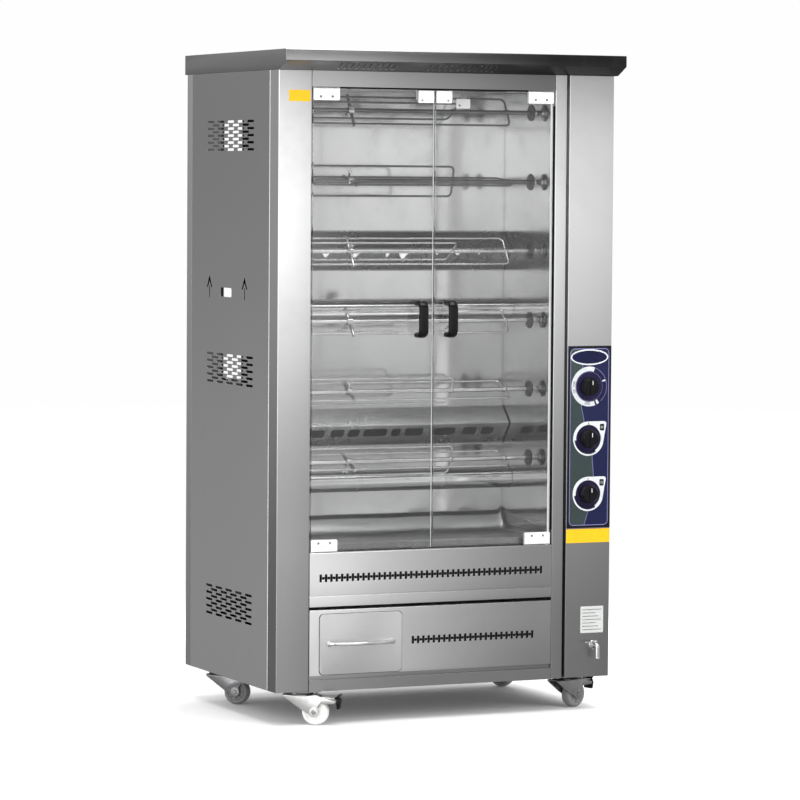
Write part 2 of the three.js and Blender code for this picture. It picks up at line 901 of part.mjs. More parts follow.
function knob() {
  const back = -2 * seam - panelThickness;
  const bore = spindleRadius + spindleClearance;
  const profile = [
    [bore, 0],
    [knobRadius, 0],
    [knobRadius, knobSkirt],
    [knobFaceRadius, knobSkirt + knobShoulder],
    [knobFaceRadius - knobDraft, knobDepth - knobGripDepth],
    [0, knobDepth - knobGripDepth],
    [0, spindleLength + seam],
    [bore, spindleLength + seam],
    [bore, 0],
  ].map(([radius, height]) => new THREE.Vector2(radius, height));
  const body = new THREE.LatheGeometry(profile, 20);
  const grip = block(
    -knobGripWidth / 2, knobGripWidth / 2,
    knobDepth - 2 * knobGripDepth, knobDepth,
    -knobFaceRadius + knobDraft, knobFaceRadius - knobDraft,
  );
  return join(body, grip).rotateX(Math.PI).translate(0, back, 0);
}

function gasManifold() {
  const lowest = base + burnerLevels[0];
  const highest = base + inletLevel;
  const pieces = [
    rodZ(pipeRadius, lowest - pipeRadius, highest + pipeRadius, pipeX, pipeDepth, 16),
    rodY(pipeRadius, pipeDepth, bodyDepth + inletReach, pipeX, highest, 16),
  ];
  knobLevels.forEach((level) => {
    const z = base + level;
    const front = pipeDepth - valveDepth;
    pieces.push(block(
      knobX - valveWidth / 2, pipeX,
      front, pipeDepth + spindleRadius,
      z - valveHeight / 2, z + valveHeight / 2,
    ));
    const tip = -2 * seam - panelThickness - spindleLength;
    pieces.push(rodY(spindleRadius, tip, front + spindleRadius, knobX, z));
  });
  burnerLevels.forEach((level) => {
    const z = base + level;
    const nozzle = chamberRight + sheet + nozzleReach;
    pieces.push(rodY(branchRadius, pipeDepth, burnerY + branchRadius, pipeX, z));
    pieces.push(rodX(branchRadius, nozzle, pipeX, burnerY, z));
  });
  return join(...pieces);
}

function driveMotor() {
  const z = base + motorLevel;
  const caseLeft = chamberRight + sheet + gearCaseStandoff;
  const caseRight = caseLeft + gearCaseThickness;
  const standoffStart = chamberRight + sheet + seam;
  const standoffs = [-1, 1].map((side) => {
    const y = spitDepth + side * (gearCaseWidth / 2 - 2 * standoffRadius);
    return rodX(standoffRadius, standoffStart, caseLeft + sheet, y, z, 8);
  });
  return join(
    block(
      caseLeft, caseRight,
      spitDepth - gearCaseWidth / 2, spitDepth + gearCaseWidth / 2,
      z - gearCaseHeight / 2, z + gearCaseHeight / 2,
    ),
    rodX(motorRadius, caseRight - sheet, caseRight + motorLength, spitDepth, z, 20),
    rodX(spitRadius, sprocketLeft, caseLeft + sheet, spitDepth, z),
    rodX(sprocketRadius, sprocketLeft, sprocketLeft + sprocketThickness, spitDepth, z, 20),
    ...standoffs,
  );
}

// One loop round all the sprockets: two straight runs and two half-turns.
function driveChain() {
  const loop = (radius) => {
    const steps = 10;
    const points = [];
    [[spitLevels.at(-1), 0], [base + motorLevel, Math.PI]].forEach(([z, start]) => {
      for (let i = 0; i <= steps; i += 1) {
        const angle = start + (i / steps) * Math.PI;
        points.push([spitDepth + radius * Math.cos(angle), z + radius * Math.sin(angle)]);
      }
    });
    return outline(points);
  };
  const band = loop(sprocketRadius + chainClearance + chainThickness);
  band.holes = [loop(sprocketRadius + chainClearance)];
  const left = sprocketLeft + (sprocketThickness - chainWidth) / 2;
  return alongX(band, left, left + chainWidth);
}

// ------------------------------------------------------------------- drain tap

function drainTapBody() {
  const x = halfWidth - tapFromSide;
  const z = base + tapLevel;
  const spoutY = -tapReach + spoutRadius;
  return join(
    rodY(tapFlangeRadius, -seam - tapFlangeThickness, -seam, x, z, 16),
    rodY(tapRadius, -tapReach, flange, x, z, 16),
    rodZ(spoutRadius, z - spoutDrop, z, x, spoutY),
    rodZ(tapStemRadius, z, z + tapRadius + tapStemHeight, x, -tapReach / 2),
  );
}

function tapLever() {
  const x = halfWidth - tapFromSide;
  const y = -tapReach / 2;
  const z = base + tapLevel + tapRadius + tapLeverLift;
  const stock = join(
    block(x - tapLeverLength, x, y - tapLeverWidth / 2, y + tapLeverWidth / 2, z, z + tapLeverThickness),
    rodZ(tapLeverHubRadius, z, z + tapLeverThickness, x, y),
  );
  return cut(stock, rodZ(tapStemRadius + spindleClearance, z - sheet, z + 2 * tapLeverThickness, x, y));
}

// ------------------------------------------------------------------ fat drawer

function drawer() {
  const { left, right, bottom, top, boxLeft, boxRight, boxBottom, boxTop } = drawerFrame();
  const faceBack = -seam;
  const face = alongY(
    roundedRectangle(left, right, bottom, top, drawerFrontRadius),
    faceBack - drawerFrontThickness, faceBack,
  );
  const box = block(boxLeft, boxRight, faceBack - sheet, drawerBoxDepth, boxBottom, boxTop);
  const well = block(
    boxLeft + sheet, boxRight - sheet,
    sheet, drawerBoxDepth - sheet,
    boxBottom + sheet, boxTop + sheet,
  );
  return join(face, cut(box, well));
}

function drawerHandle() {
  const { left, right, bottom, top } = drawerFrame();
  const middle = (left + right) / 2;
  const level = (bottom + top) / 2 + drawerHandleLift;
  const back = -seam - drawerFrontThickness - seam;
  const steps = 12;
  const arch = (width, reach) => Array.from({ length: steps + 1 }, (_, i) => {
    const angle = Math.PI * i / steps;
    return [middle - width / 2 * Math.cos(angle), back - reach * Math.sin(angle)];
  });
  const outer = arch(drawerHandleWidth, drawerHandleReach);
  const inner = arch(drawerHandleWidth - 2 * drawerHandleFoot, drawerHandleReach - drawerHandleThickness);
  const bow = outline([...outer, ...inner.reverse()]);
  return alongZ(bow, level - drawerHandleHeight / 2, level + drawerHandleHeight / 2);
}

// --------------------------------------------------------------------- castors

// A castor is drawn round its swivel axis with the wheel trailing along +X.
const headTop = base - castorPlateThickness - headGap;
const cheekInside = wheelWidth / 2 + cheekGap;
const cheekOutside = cheekInside + cheekThickness;
const pedalLevel = wheelRadius * 2 + pedalGap;
const pedalHalfWidth = cheekInside - seam;

function castorFork(brake) {
  const headBottom = headTop - headHeight;
  const end = castorTrail + (brake ? guardReach : guardShortReach);
  const cheek = outline([
    [-cheekLead, headBottom],
    [-cheekLead, headBottom - headHeight / 2],
    [castorTrail - wheelRadius, wheelRadius + headHeight],
    [castorTrail - cheekTip, wheelRadius - cheekTip / 2],
    [castorTrail, wheelRadius - cheekTip],
    [castorTrail + cheekTip * 0.8, wheelRadius - cheekTip / 2],
    [castorTrail + cheekTip, guardLevel],
    [end - guardDepth, guardLevel],
    [end, guardLevel + guardDepth],
    [headRadius, headBottom],
  ]);
  const cheeks = [-1, 1].map((side) => {
    const y = side * (cheekInside + cheekThickness / 2);
    return alongY(cheek, y - cheekThickness / 2, y + cheekThickness / 2);
  });
  const crown = block(
    -cheekLead, headRadius,
    -cheekOutside, cheekOutside,
    headBottom - sheet, headBottom + sheet,
  );
  const stock = join(
    rodZ(headRadius, headBottom, headTop, 0, 0, 16),
    crown,
    ...cheeks,
    rodY(axleRadius, -cheekOutside - axleEnd, cheekOutside + axleEnd, castorTrail, wheelRadius),
  );
  return cut(stock, rodZ(kingPinRadius + kingPinClearance, headBottom - 3 * sheet, headTop + sheet, 0, 0));
}

// The tread's flats touch the floor, so the facets stand outside the true circle.
function castorWheel() {
  const outside = 1 / Math.cos(Math.PI / wheelFacets);
  const half = wheelWidth / 2;
  const bore = axleRadius + axleClearance;
  const profile = [
    [bore, -half],
    [(wheelRadius - wheelBevel) * outside, -half],
    [wheelRadius * outside, -half + wheelBevel],
    [wheelRadius * outside, half - wheelBevel],
    [(wheelRadius - wheelBevel) * outside, half],
    [bore, half],
    [bore, -half],
  ].map(([radius, height]) => new THREE.Vector2(radius, height));
  const tread = new THREE.LatheGeometry(profile, wheelFacets).rotateY(Math.PI / wheelFacets);
  return tread.translate(castorTrail, 0, wheelRadius);
}

// A tongue over the wheel that pivots between the cheeks and turns up past the tread.
function castorBrake() {
  const end = castorTrail + pedalReach;
  const tongue = outline([
    [pedalPivotFromSwivel, pedalLevel],
    [end - pedalUpturn, pedalLevel - pedalThickness / 2],
    [end, pedalLevel],
    [end, pedalLevel + pedalUpturn],
    [end - pedalUpturn, pedalLevel + pedalThickness],
    [pedalPivotFromSwivel, pedalLevel + pedalThickness],
  ]);
  const pivotLevel = pedalLevel + pedalThickness / 2;
  return join(
    alongY(tongue, -pedalHalfWidth, pedalHalfWidth),
    rodY(pedalPivotRadius, -pedalHalfWidth, pedalHalfWidth, pedalPivotFromSwivel, pivotLevel, 8),
  );
}

function addCastor(castor) {
  const { x, y } = castorPlace(castor);
  const assembly = new THREE.Group();
  assembly.position.set(x, y, 0);
  assembly.rotation.z = THREE.MathUtils.degToRad(castor.swivel);
  cabinet.add(assembly);
  addPart(`${castor.name}_castor_fork`, castorFork(castor.brake), 'zinc', assembly);
  addPart(`${castor.name}_castor_wheel`, castorWheel(), 'nylon', assembly);
  if (castor.brake) {
    addPart(`${castor.name}_castor_brake`, castorBrake(), 'blackPlastic', assembly);
  }
}

// -------------------------------------------------------------------- assembly

addPart('base_chassis', baseChassis(), 'brushedSteel');
addPart('left_side_panel', sidePanel(-1, pillarSide + seam), 'brushedSteel');
addPart('right_side_panel', sidePanel(1, flange + seam), 'brushedSteel');
addPart('rear_cover', rearCover(), 'brushedSteel');
addPart('left_front_pillar', frontLeftPillar(), 'brushedSteel');
addPart('right_front_post', frontRightPost(), 'brushedSteel');
addPart('control_column_front', controlColumnFront(), 'brushedSteel');
addPart('canopy', canopy(), 'brushedSteel');
addPart('vent_fascia', ventFascia(), 'brushedSteel');
addPart('lower_front_panel', lowerFrontPanel(), 'brushedSteel');

addPart('chamber_left_wall', chamberSideWall(-1), 'polishedSteel');
addPart('chamber_right_wall', chamberSideWall(1), 'polishedSteel');
addPart('chamber_back_wall', chamberBackWall(), 'polishedSteel');
addPart('chamber_roof', chamberRoof(), 'polishedSteel');
addPart('drip_tray', dripTray(), 'polishedSteel');

['lower', 'upper'].forEach((place, i) => {
  addPart(`${place}_burner_tube`, burnerTube(burnerLevels[i]), 'burnerSteel');
  addPart(`${place}_burner_hood`, burnerHood(hoodLevels[i]), 'burnerSteel');
});

[['left', -1], ['right', 1]].forEach(([hand, side]) => {
  addPart(`${hand}_door_glass`, doorGlass(side), 'glass');
  addPart(`${hand}_door_handle`, doorHandle(side), 'blackPlastic');
  addPart(`${hand}_door_upper_hinge`, doorHinge(side, 1), 'zinc');
  addPart(`${hand}_door_lower_hinge`, doorHinge(side, -1), 'zinc');
});

spitLevels.forEach((z, i) => {
  const turn = THREE.MathUtils.degToRad(spitAngles[i]);
  [['spit', spit()], ['spit_clamp', spitClamp()]].forEach(([name, geometry]) => {
    const mesh = addPart(`${name}_${i + 1}`, geometry, 'spitSteel');
    mesh.position.set(0, spitDepth, z);
    mesh.rotation.x = turn;
  });
});

addPart('control_panel_plate', controlPanelPlate(), 'panelPrint');
['lower', 'middle', 'upper'].forEach((place, i) => {
  addPart(`${place}_knob`, knob(), 'blackPlastic').position.set(knobX, 0, base + knobLevels[i]);
});
addPart('gas_manifold', gasManifold(), 'brass');
addPart('drive_motor', driveMotor(), 'castMotor');
addPart('drive_chain', driveChain(), 'burnerSteel');
addPart('drain_tap_body', drainTapBody(), 'chrome');
addPart('drain_tap_lever', tapLever(), 'chrome');

addPart('fat_drawer', drawer(), 'brushedSteel');
addPart('fat_drawer_handle', drawerHandle(), 'chrome');

castors.forEach(addCastor);

// The origin is the middle of the whole object's footprint, on the floor.
cabinet.updateMatrixWorld(true);
const extent = new THREE.Box3().setFromObject(cabinet, true);
cabinet.position.y = -(extent.min.y + extent.max.y) / 2;
cabinet.position.x = -(extent.min.x + extent.max.x) / 2;

export default cabinet;
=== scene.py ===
# Floor-standing gas rotisserie oven. Metres, +Z up, the doors face -Y.
import math

import bmesh
import bpy
from mathutils import Matrix, Vector, noise
from mathutils.geometry import delaunay_2d_cdt


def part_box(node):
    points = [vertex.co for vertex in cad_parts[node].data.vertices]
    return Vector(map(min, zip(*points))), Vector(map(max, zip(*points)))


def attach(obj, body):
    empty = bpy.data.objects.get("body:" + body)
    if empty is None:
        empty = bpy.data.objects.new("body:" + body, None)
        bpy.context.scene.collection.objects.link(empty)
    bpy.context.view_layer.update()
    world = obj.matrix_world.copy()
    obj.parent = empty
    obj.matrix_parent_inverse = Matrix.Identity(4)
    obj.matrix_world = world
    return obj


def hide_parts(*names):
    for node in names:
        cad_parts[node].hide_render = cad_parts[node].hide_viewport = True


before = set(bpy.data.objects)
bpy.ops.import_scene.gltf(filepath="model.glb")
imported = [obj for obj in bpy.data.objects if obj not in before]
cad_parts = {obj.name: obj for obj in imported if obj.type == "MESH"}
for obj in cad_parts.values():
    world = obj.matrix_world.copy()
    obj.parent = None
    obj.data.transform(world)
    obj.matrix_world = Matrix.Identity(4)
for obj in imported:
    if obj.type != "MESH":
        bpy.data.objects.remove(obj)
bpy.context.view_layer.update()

mm = 0.001


# Small tools for node trees

def put(tree, kind, inputs=None, **settings):
    made = tree.nodes.new(kind)
    for key, value in settings.items():
        setattr(made, key, value)
    for key, value in (inputs or {}).items():
        if isinstance(value, bpy.types.NodeSocket):
            tree.links.new(value, made.inputs[key])
        else:
            made.inputs[key].default_value = value
    return made


def sums(tree, operation, first, second=0.0, third=0.0):
    made = put(tree, 'ShaderNodeMath', {0: first, 1: second, 2: third}, operation=operation)
    return made.outputs[0]


def mixed(tree, factor, first, second, blend='MIX'):
    made = put(tree, 'ShaderNodeMix', None, data_type='RGBA', blend_type=blend)
    for socket, value in ((made.inputs[0], factor), (made.inputs[6], first), (made.inputs[7], second)):
        if isinstance(value, bpy.types.NodeSocket):
            tree.links.new(value, socket)
        else:
            socket.default_value = value
    return made.outputs[2]


def spread(tree, value, lowIn, highIn, lowOut, highOut):
    made = put(tree, 'ShaderNodeMapRange', {0: value, 1: lowIn, 2: highIn, 3: lowOut, 4: highOut})
    return made.outputs[0]


def effect(name, inputs, outputs):
    tree = bpy.data.node_groups.new(name, 'ShaderNodeTree')
    for label, kind, value in inputs:
        socket = tree.interface.new_socket(label, in_out='INPUT', socket_type=kind)
        socket.default_value = value
    for label, kind in outputs:
        tree.interface.new_socket(label, in_out='OUTPUT', socket_type=kind)
    source = tree.nodes.new('NodeGroupInput')
    target = tree.nodes.new('NodeGroupOutput')
    return tree, source.outputs, target.inputs


def use(tree, group, inputs):
    made = put(tree, 'ShaderNodeGroup', None, node_tree=group)
    for key, value in inputs.items():
        if isinstance(value, bpy.types.NodeSocket):
            tree.links.new(value, made.inputs[key])
        else:
            made.inputs[key].default_value = value
    return made.outputs


number, point = 'NodeSocketFloat', 'NodeSocketVector'


def grainEffect():
    # Long fine scratches of a brushing belt, with broader bands behind them.
    tree, given, out = effect('sheetGrain', [
        ('Position', point, (0, 0, 0)), ('Fine', point, (12, 12, 1800)), ('Band', point, (2, 2, 160)),
    ], [('Mask', number), ('Height', number)])
    fine = put(tree, 'ShaderNodeMapping', {0: given['Position'], 3: given['Fine']}, vector_type='POINT')
    band = put(tree, 'ShaderNodeMapping', {0: given['Position'], 3: given['Band']}, vector_type='POINT')
    scratches = put(tree, 'ShaderNodeTexNoise', {'Vector': fine.outputs[0], 'Scale': 1.0, 'Detail': 3.0})
    bands = put(tree, 'ShaderNodeTexNoise', {'Vector': band.outputs[0], 'Scale': 1.0, 'Detail': 2.0})
    both = sums(tree, 'MULTIPLY_ADD', scratches.outputs[0], 0.6, sums(tree, 'MULTIPLY', bands.outputs[0], 0.4))
    tree.links.new(spread(tree, both, 0.3, 0.7, 0.0, 1.0), out['Mask'])
    tree.links.new(scratches.outputs[0], out['Height'])
    return tree


def edgeEffect():
    # Where a rounded normal leaves the true one: rubbed, brighter edges.
    tree, given, out = effect('edgeWear', [('Radius', number, 0.001), ('Amount', number, 1.0)], [
        ('Mask', number), ('Normal', point)])
    soft = put(tree, 'ShaderNodeBevel', {'Radius': given['Radius']}, samples=4)
    true = tree.nodes.new('ShaderNodeNewGeometry')
    dot = put(tree, 'ShaderNodeVectorMath', {0: soft.outputs[0], 1: true.outputs['Normal']},
              operation='DOT_PRODUCT')
    bent = spread(tree, dot.outputs['Value'], 1.0, 0.86, 0.0, 1.0)
    tree.links.new(sums(tree, 'MULTIPLY', bent, given['Amount']), out['Mask'])
    tree.links.new(soft.outputs[0], out['Normal'])
    return tree


def smudgeEffect():
    # Wiped-over patches and finger grease that dull a bright surface.
    tree, given, out = effect('wipeMarks', [('Position', point, (0, 0, 0)), ('Size', number, 6.0)], [
        ('Mask', number), ('Height', number)])
    wide = put(tree, 'ShaderNodeTexNoise', {
        'Vector': given['Position'], 'Scale': given['Size'], 'Detail': 4.0, 'Roughness': 0.55, 'Distortion': 0.6})
    small = put(tree, 'ShaderNodeTexNoise', {
        'Vector': given['Position'], 'Scale': sums(tree, 'MULTIPLY', given['Size'], 9.0), 'Detail': 3.0})
    patch = spread(tree, wide.outputs[0], 0.42, 0.66, 0.0, 1.0)
    fleck = spread(tree, small.outputs[0], 0.45, 0.7, 0.0, 0.5)
    tree.links.new(sums(tree, 'MULTIPLY_ADD', patch, fleck, sums(tree, 'MULTIPLY', patch, 0.5)), out['Mask'])
    tree.links.new(wide.outputs[0], out['Height'])
    return tree


def sootAndShadeEffect():
    # Darkening that gathers where surfaces meet, taken from ambient occlusion: soot and painted shade.
    tree, given, out = effect('cornerSoot', [
        ('Position', point, (0, 0, 0)), ('Reach', number, 0.03), ('Amount', number, 1.0)], [('Mask', number)])
    nook = put(tree, 'ShaderNodeAmbientOcclusion', {'Distance': given['Reach']}, samples=4)
    cloud = put(tree, 'ShaderNodeTexNoise', {'Vector': given['Position'], 'Scale': 40.0, 'Detail': 3.0})
    dark = spread(tree, nook.outputs['AO'], 0.75, 0.2, 0.0, 1.0)
    tree.links.new(sums(tree, 'MULTIPLY', dark, sums(
        tree, 'MULTIPLY', given['Amount'], spread(tree, cloud.outputs[0], 0.3, 0.7, 0.5, 1.0))), out['Mask'])
    return tree


def shadeRampEffect():
    # A slow change from one end of a sheet to the other, 0 at Start and 1 at End, used to paint light and shade.
    tree, given, out = effect('slowDrift', [
        ('Position', point, (0, 0, 0)), ('Axis', point, (0, 0, 1)), ('Start', number, 0.0), ('End', number, 1.0)],
        [('Mask', number)])
    along = put(tree, 'ShaderNodeVectorMath', {0: given['Position'], 1: given['Axis']}, operation='DOT_PRODUCT')
    made = put(tree, 'ShaderNodeMapRange', {
        0: along.outputs['Value'], 1: given['Start'], 2: given['End'], 3: 0.0, 4: 1.0},
        interpolation_type='SMOOTHSTEP')
    tree.links.new(made.outputs[0], out['Mask'])
    return tree


sheetGrain, edgeWear, wipeMarks = grainEffect(), edgeEffect(), smudgeEffect()
cornerSoot, slowDrift = sootAndShadeEffect(), shadeRampEffect()


def newMaterial(name):
    material = bpy.data.materials.new(name)
    material.use_nodes = True
    tree = material.node_tree
    tree.nodes.clear()
    target = tree.nodes.new('ShaderNodeOutputMaterial')
    shader = tree.nodes.new('ShaderNodeBsdfPrincipled')
    tree.links.new(shader.outputs[0], target.inputs[0])
    place = tree.nodes.new('ShaderNodeTexCoord').outputs['Object']
    return material, tree, shader, place


def grey(value):
    return (value, value, value, 1.0)


def tone(color, share=1.0, lift=0.0):
    # One number stands for a grey
    channels = [color] * 3 if isinstance(color, float) else color
    return [share * c + lift for c in channels] + [1.0]


def sheetSteel(name, grain='upright', low=0.5, high=0.55, paintedRamp=((0, 0, 1), 0.1, 1.75), rough=0.34,
               sideShade=1.0, under=1.0, away=None):
    material, tree, shader, place = newMaterial(name)
    fine, band, turn = {
        'upright': ((1900, 1900, 14), (170, 170, 1.6), 0.0),
        'level': ((14, 1900, 1900), (1.6, 170, 170), 0.25),
    }[grain]
    lines = use(tree, sheetGrain, {'Position': place, 'Fine': fine, 'Band': band})
    marks = use(tree, wipeMarks, {'Position': place, 'Size': 3.5})
    edges = use(tree, edgeWear, {'Radius': 1.2 * mm, 'Amount': 0.8})
    paintedRampMask = use(tree, slowDrift, {'Position': place, 'Axis': paintedRamp[0], 'Start': paintedRamp[1], 'End': paintedRamp[2]})
    # painted light and shade: the tone runs from low to high along an axis
    base = mixed(tree, paintedRampMask['Mask'], grey(low), grey(high))
    facing = put(tree, 'ShaderNodeSeparateXYZ', {0: tree.nodes.new('ShaderNodeNewGeometry').outputs['Normal']})
    # painted shade: faces not looking to the front take the away tone, and faces towards the sides or looking down
    # are darkened
    if away:
        base = mixed(tree, spread(tree, facing.outputs['Y'], -0.35, -0.1, 0.0, 1.0), base, grey(away))
    if sideShade != 1.0:
        sideways = spread(tree, sums(tree, 'ABSOLUTE', facing.outputs['X']), 0.8, 0.95, 0.0, 1.0)
        base = mixed(tree, sideways, base, mixed(tree, 1.0, base, grey(sideShade), 'MULTIPLY'))
        downwards = spread(tree, facing.outputs['Z'], -0.1, -0.3, 0.0, 1.0)
        base = mixed(tree, downwards, base, mixed(tree, 1.0, base, grey(under), 'MULTIPLY'))
    lined = mixed(tree, sums(tree, 'MULTIPLY', lines['Mask'], 0.16), base, grey(0.92), 'MULTIPLY')
    lined = mixed(tree, sums(tree, 'MULTIPLY', lines['Mask'], 0.3), lined,
                  mixed(tree, 1.0, lined, grey(1.12), 'MULTIPLY'))
    wiped = mixed(tree, sums(tree, 'MULTIPLY', marks['Mask'], 0.12), lined, grey(0.4))
    rubbed = mixed(tree, sums(tree, 'MULTIPLY', edges['Mask'], 0.45), wiped, grey(0.93))
    tree.links.new(rubbed, shader.inputs['Base Color'])
    roughness = sums(tree, 'MULTIPLY_ADD', lines['Mask'], 0.09, rough - 0.04)
    roughness = sums(tree, 'MULTIPLY_ADD', marks['Mask'], 0.07, roughness)
    tree.links.new(roughness, shader.inputs['Roughness'])
    shader.inputs['Metallic'].default_value = 1.0
    shader.inputs['Anisotropic'].default_value = 0.5
    shader.inputs['Anisotropic Rotation'].default_value = turn
    across = [put(tree, 'ShaderNodeTangent', None, direction_type='RADIAL', axis=axis).outputs[0] for axis in 'ZY']
    steep = spread(tree, sums(tree, 'ABSOLUTE', facing.outputs['Z']), 0.7, 0.8, 0.0, 1.0)
    tree.links.new(mixed(tree, steep, *across), shader.inputs['Tangent'])
    ripple = put(tree, 'ShaderNodeBump', {
        'Height': marks['Height'], 'Distance': 0.0012, 'Strength': 0.5, 'Normal': edges['Normal']})
    scratch = put(tree, 'ShaderNodeBump', {
        'Height': lines['Height'], 'Distance': 0.00002, 'Strength': 0.6, 'Normal': ripple.outputs[0]})
    tree.links.new(scratch.outputs[0], shader.inputs['Normal'])
    return material


# Colour of soot and of painted shade in the nooks of metal parts
sootAndShadeColor = (0.05, 0.045, 0.04)


def brightMetal(name, color, rough, ripple=0.0004, sootAndShade=0.3, marks=0.25, wear=1 * mm, size=5.0,
                facingShades=(1, 1, 1), rise=(1, 0, 1)):
    material, tree, shader, place = newMaterial(name)
    wipe = use(tree, wipeMarks, {'Position': place, 'Size': size})
    nookSootAndShade = use(tree, cornerSoot, {'Position': place, 'Reach': 0.03, 'Amount': sootAndShade})
    edges = use(tree, edgeWear, {'Radius': wear, 'Amount': 0.6})
    base = mixed(tree, sums(tree, 'MULTIPLY', wipe['Mask'], marks), tone(color), tone(color, 0.55))
    # painted shade and highlight: tones of faces that look down, level and up, and of the piece's foot against its
    # head
    facing = put(tree, 'ShaderNodeSeparateXYZ', {0: tree.nodes.new('ShaderNodeNewGeometry').outputs['Normal']})
    lean = mixed(tree, spread(tree, facing.outputs['Z'], -0.25, -0.6, 0.0, 1.0), grey(facingShades[1]), grey(facingShades[0]))
    lean = mixed(tree, spread(tree, facing.outputs['Z'], 0.3, 0.62, 0.0, 1.0), lean, grey(facingShades[2]))
    heightShadeRamp = use(tree, slowDrift, {'Position': place, 'Start': rise[1], 'End': rise[2]})
    lean = mixed(tree, 1.0, lean, mixed(tree, heightShadeRamp['Mask'], grey(rise[0]), grey(1.0)), 'MULTIPLY')
    base = mixed(tree, 1.0, base, lean, 'MULTIPLY')
    base = mixed(tree, sums(tree, 'MULTIPLY', edges['Mask'], 0.4), base, grey(0.9))
    # soot and painted shade where surfaces meet
    base = mixed(tree, nookSootAndShade['Mask'], base, tone(sootAndShadeColor))
    tree.links.new(base, shader.inputs['Base Color'])
    roughness = sums(tree, 'MULTIPLY_ADD', wipe['Mask'], min(0.14, 0.5 * marks), rough)
    roughness = sums(tree, 'MULTIPLY_ADD', nookSootAndShade['Mask'], 0.3, roughness)
    tree.links.new(roughness, shader.inputs['Roughness'])
    shader.inputs['Metallic'].default_value = 1.0
    wave = put(tree, 'ShaderNodeBump', {
        'Height': wipe['Height'], 'Distance': ripple, 'Strength': 1.0, 'Normal': edges['Normal']})
    tree.links.new(wave.outputs[0], shader.inputs['Normal'])
    return material


def moulded(name, color, rough, texture=0.00003, scale=900.0, worn=0.25, dustAndShade=(0.3, 0.28, 0.25), coat=0.0,
            wear=0.8 * mm, gloss=0.5, glow=0.0):
    material, tree, shader, place = newMaterial(name)
    pores = put(tree, 'ShaderNodeTexNoise', {'Vector': place, 'Scale': scale, 'Detail': 3.0})
    wipe = use(tree, wipeMarks, {'Position': place, 'Size': 30.0})
    edges = use(tree, edgeWear, {'Radius': wear, 'Amount': 0.7})
    nookSootAndShade = use(tree, cornerSoot, {'Position': place, 'Reach': 0.008, 'Amount': 0.35})
    base = mixed(tree, sums(tree, 'MULTIPLY', wipe['Mask'], 0.25), tone(color), tone(color, 0.7, 0.004))
    base = mixed(tree, sums(tree, 'MULTIPLY', edges['Mask'], 0.3), base, tone(worn))
    # dust and painted shade where surfaces meet
    base = mixed(tree, nookSootAndShade['Mask'], base, tone(dustAndShade))
    tree.links.new(base, shader.inputs['Base Color'])
    tree.links.new(sums(tree, 'MULTIPLY_ADD', wipe['Mask'], 0.15, sums(
        tree, 'MULTIPLY_ADD', pores.outputs[0], 0.1, rough - 0.05)), shader.inputs['Roughness'])
    shader.inputs['Specular IOR Level'].default_value = gloss
    # an optional glow, painted light from a part that is no lamp
    shader.inputs['Emission Color'].default_value = tone(color)
    shader.inputs['Emission Strength'].default_value = glow
    shader.inputs['Coat Weight'].default_value = coat
    shader.inputs['Coat Roughness'].default_value = 0.12
    bump = put(tree, 'ShaderNodeBump', {
        'Height': pores.outputs[0], 'Distance': texture, 'Strength': 0.7, 'Normal': edges['Normal']})
    tree.links.new(bump.outputs[0], shader.inputs['Normal'])
    return material


def paneGlass(name):
    material, tree, shader, place = newMaterial(name)
    wipe = use(tree, wipeMarks, {'Position': place, 'Size': 4.0})
    shader.inputs['Base Color'].default_value = (0.965, 0.97, 0.968, 1)
    shader.inputs['Metallic'].default_value = 0.0
    shader.inputs['Transmission Weight'].default_value = 1.0
    shader.inputs['IOR'].default_value = 1.5
    tree.links.new(sums(tree, 'MULTIPLY', wipe['Mask'], 0.02), shader.inputs['Roughness'])
    wave = put(tree, 'ShaderNodeBump', {'Height': wipe['Height'], 'Distance': 0.00005, 'Strength': 0.4})
    tree.links.new(wave.outputs[0], shader.inputs['Normal'])
    path = tree.nodes.new('ShaderNodeLightPath')
    clear = put(tree, 'ShaderNodeBsdfTransparent', {'Color': (0.93, 0.94, 0.935, 1)})
    swap = put(tree, 'ShaderNodeMixShader', {
        0: path.outputs['Is Shadow Ray'], 1: shader.outputs[0], 2: clear.outputs[0]})
    tree.links.new(swap.outputs[0], tree.nodes['Material Output'].inputs[0])
    return material


# Painted light and shade: tones run from Start to End along an axis, and the side factor is how bright the faces
# towards the sides are
steel = {
    'shell': sheetSteel('shellSteel'),
    'rightSide': sheetSteel('rightSideSteel'),
    'rear': sheetSteel('rearSteel', low=0.52, high=0.5),
    'leftSide': sheetSteel('leftSideSteel', low=0.58, high=0.37),
    'pillar': sheetSteel('pillarSteel', low=0.38, high=0.9, paintedRamp=((0, 0, 1), 0.3, 1.4), rough=0.3, sideShade=0.62),
    'post': sheetSteel('postSteel', low=0.3, high=0.9, paintedRamp=((0, 0, 1), 0.2, 1.45), sideShade=0.8),
    'column': sheetSteel('columnSteel', low=0.29, high=0.86, paintedRamp=((0, 0, 1), 0.2, 1.5)),
    'canopy': sheetSteel('canopySteel', 'level', low=0.5, high=0.035, paintedRamp=((1, 0, 0), -0.6, 0.4), sideShade=0.64,
                         under=0.55, away=0.5),
    'front': sheetSteel('frontSteel', 'level', low=0.99, high=0.38, paintedRamp=((1, 0, 0), -0.4, 0.3)),
    'rail': sheetSteel('railSteel', 'level', low=0.4, high=0.3, paintedRamp=((1, 0, 0), -0.4, 0.3)),
    'drawer': sheetSteel('drawerSteel', 'level', low=0.74, high=0.95, paintedRamp=((1, 0, 0), -0.4, 0.0)),
    'drawerBox': sheetSteel('drawerBoxSteel', 'level', low=0.5, high=0.5),
    'header': sheetSteel('headerSteel', 'level', low=0.74, high=0.28, paintedRamp=((1, 0, 0), -0.4, 0.35)),
}
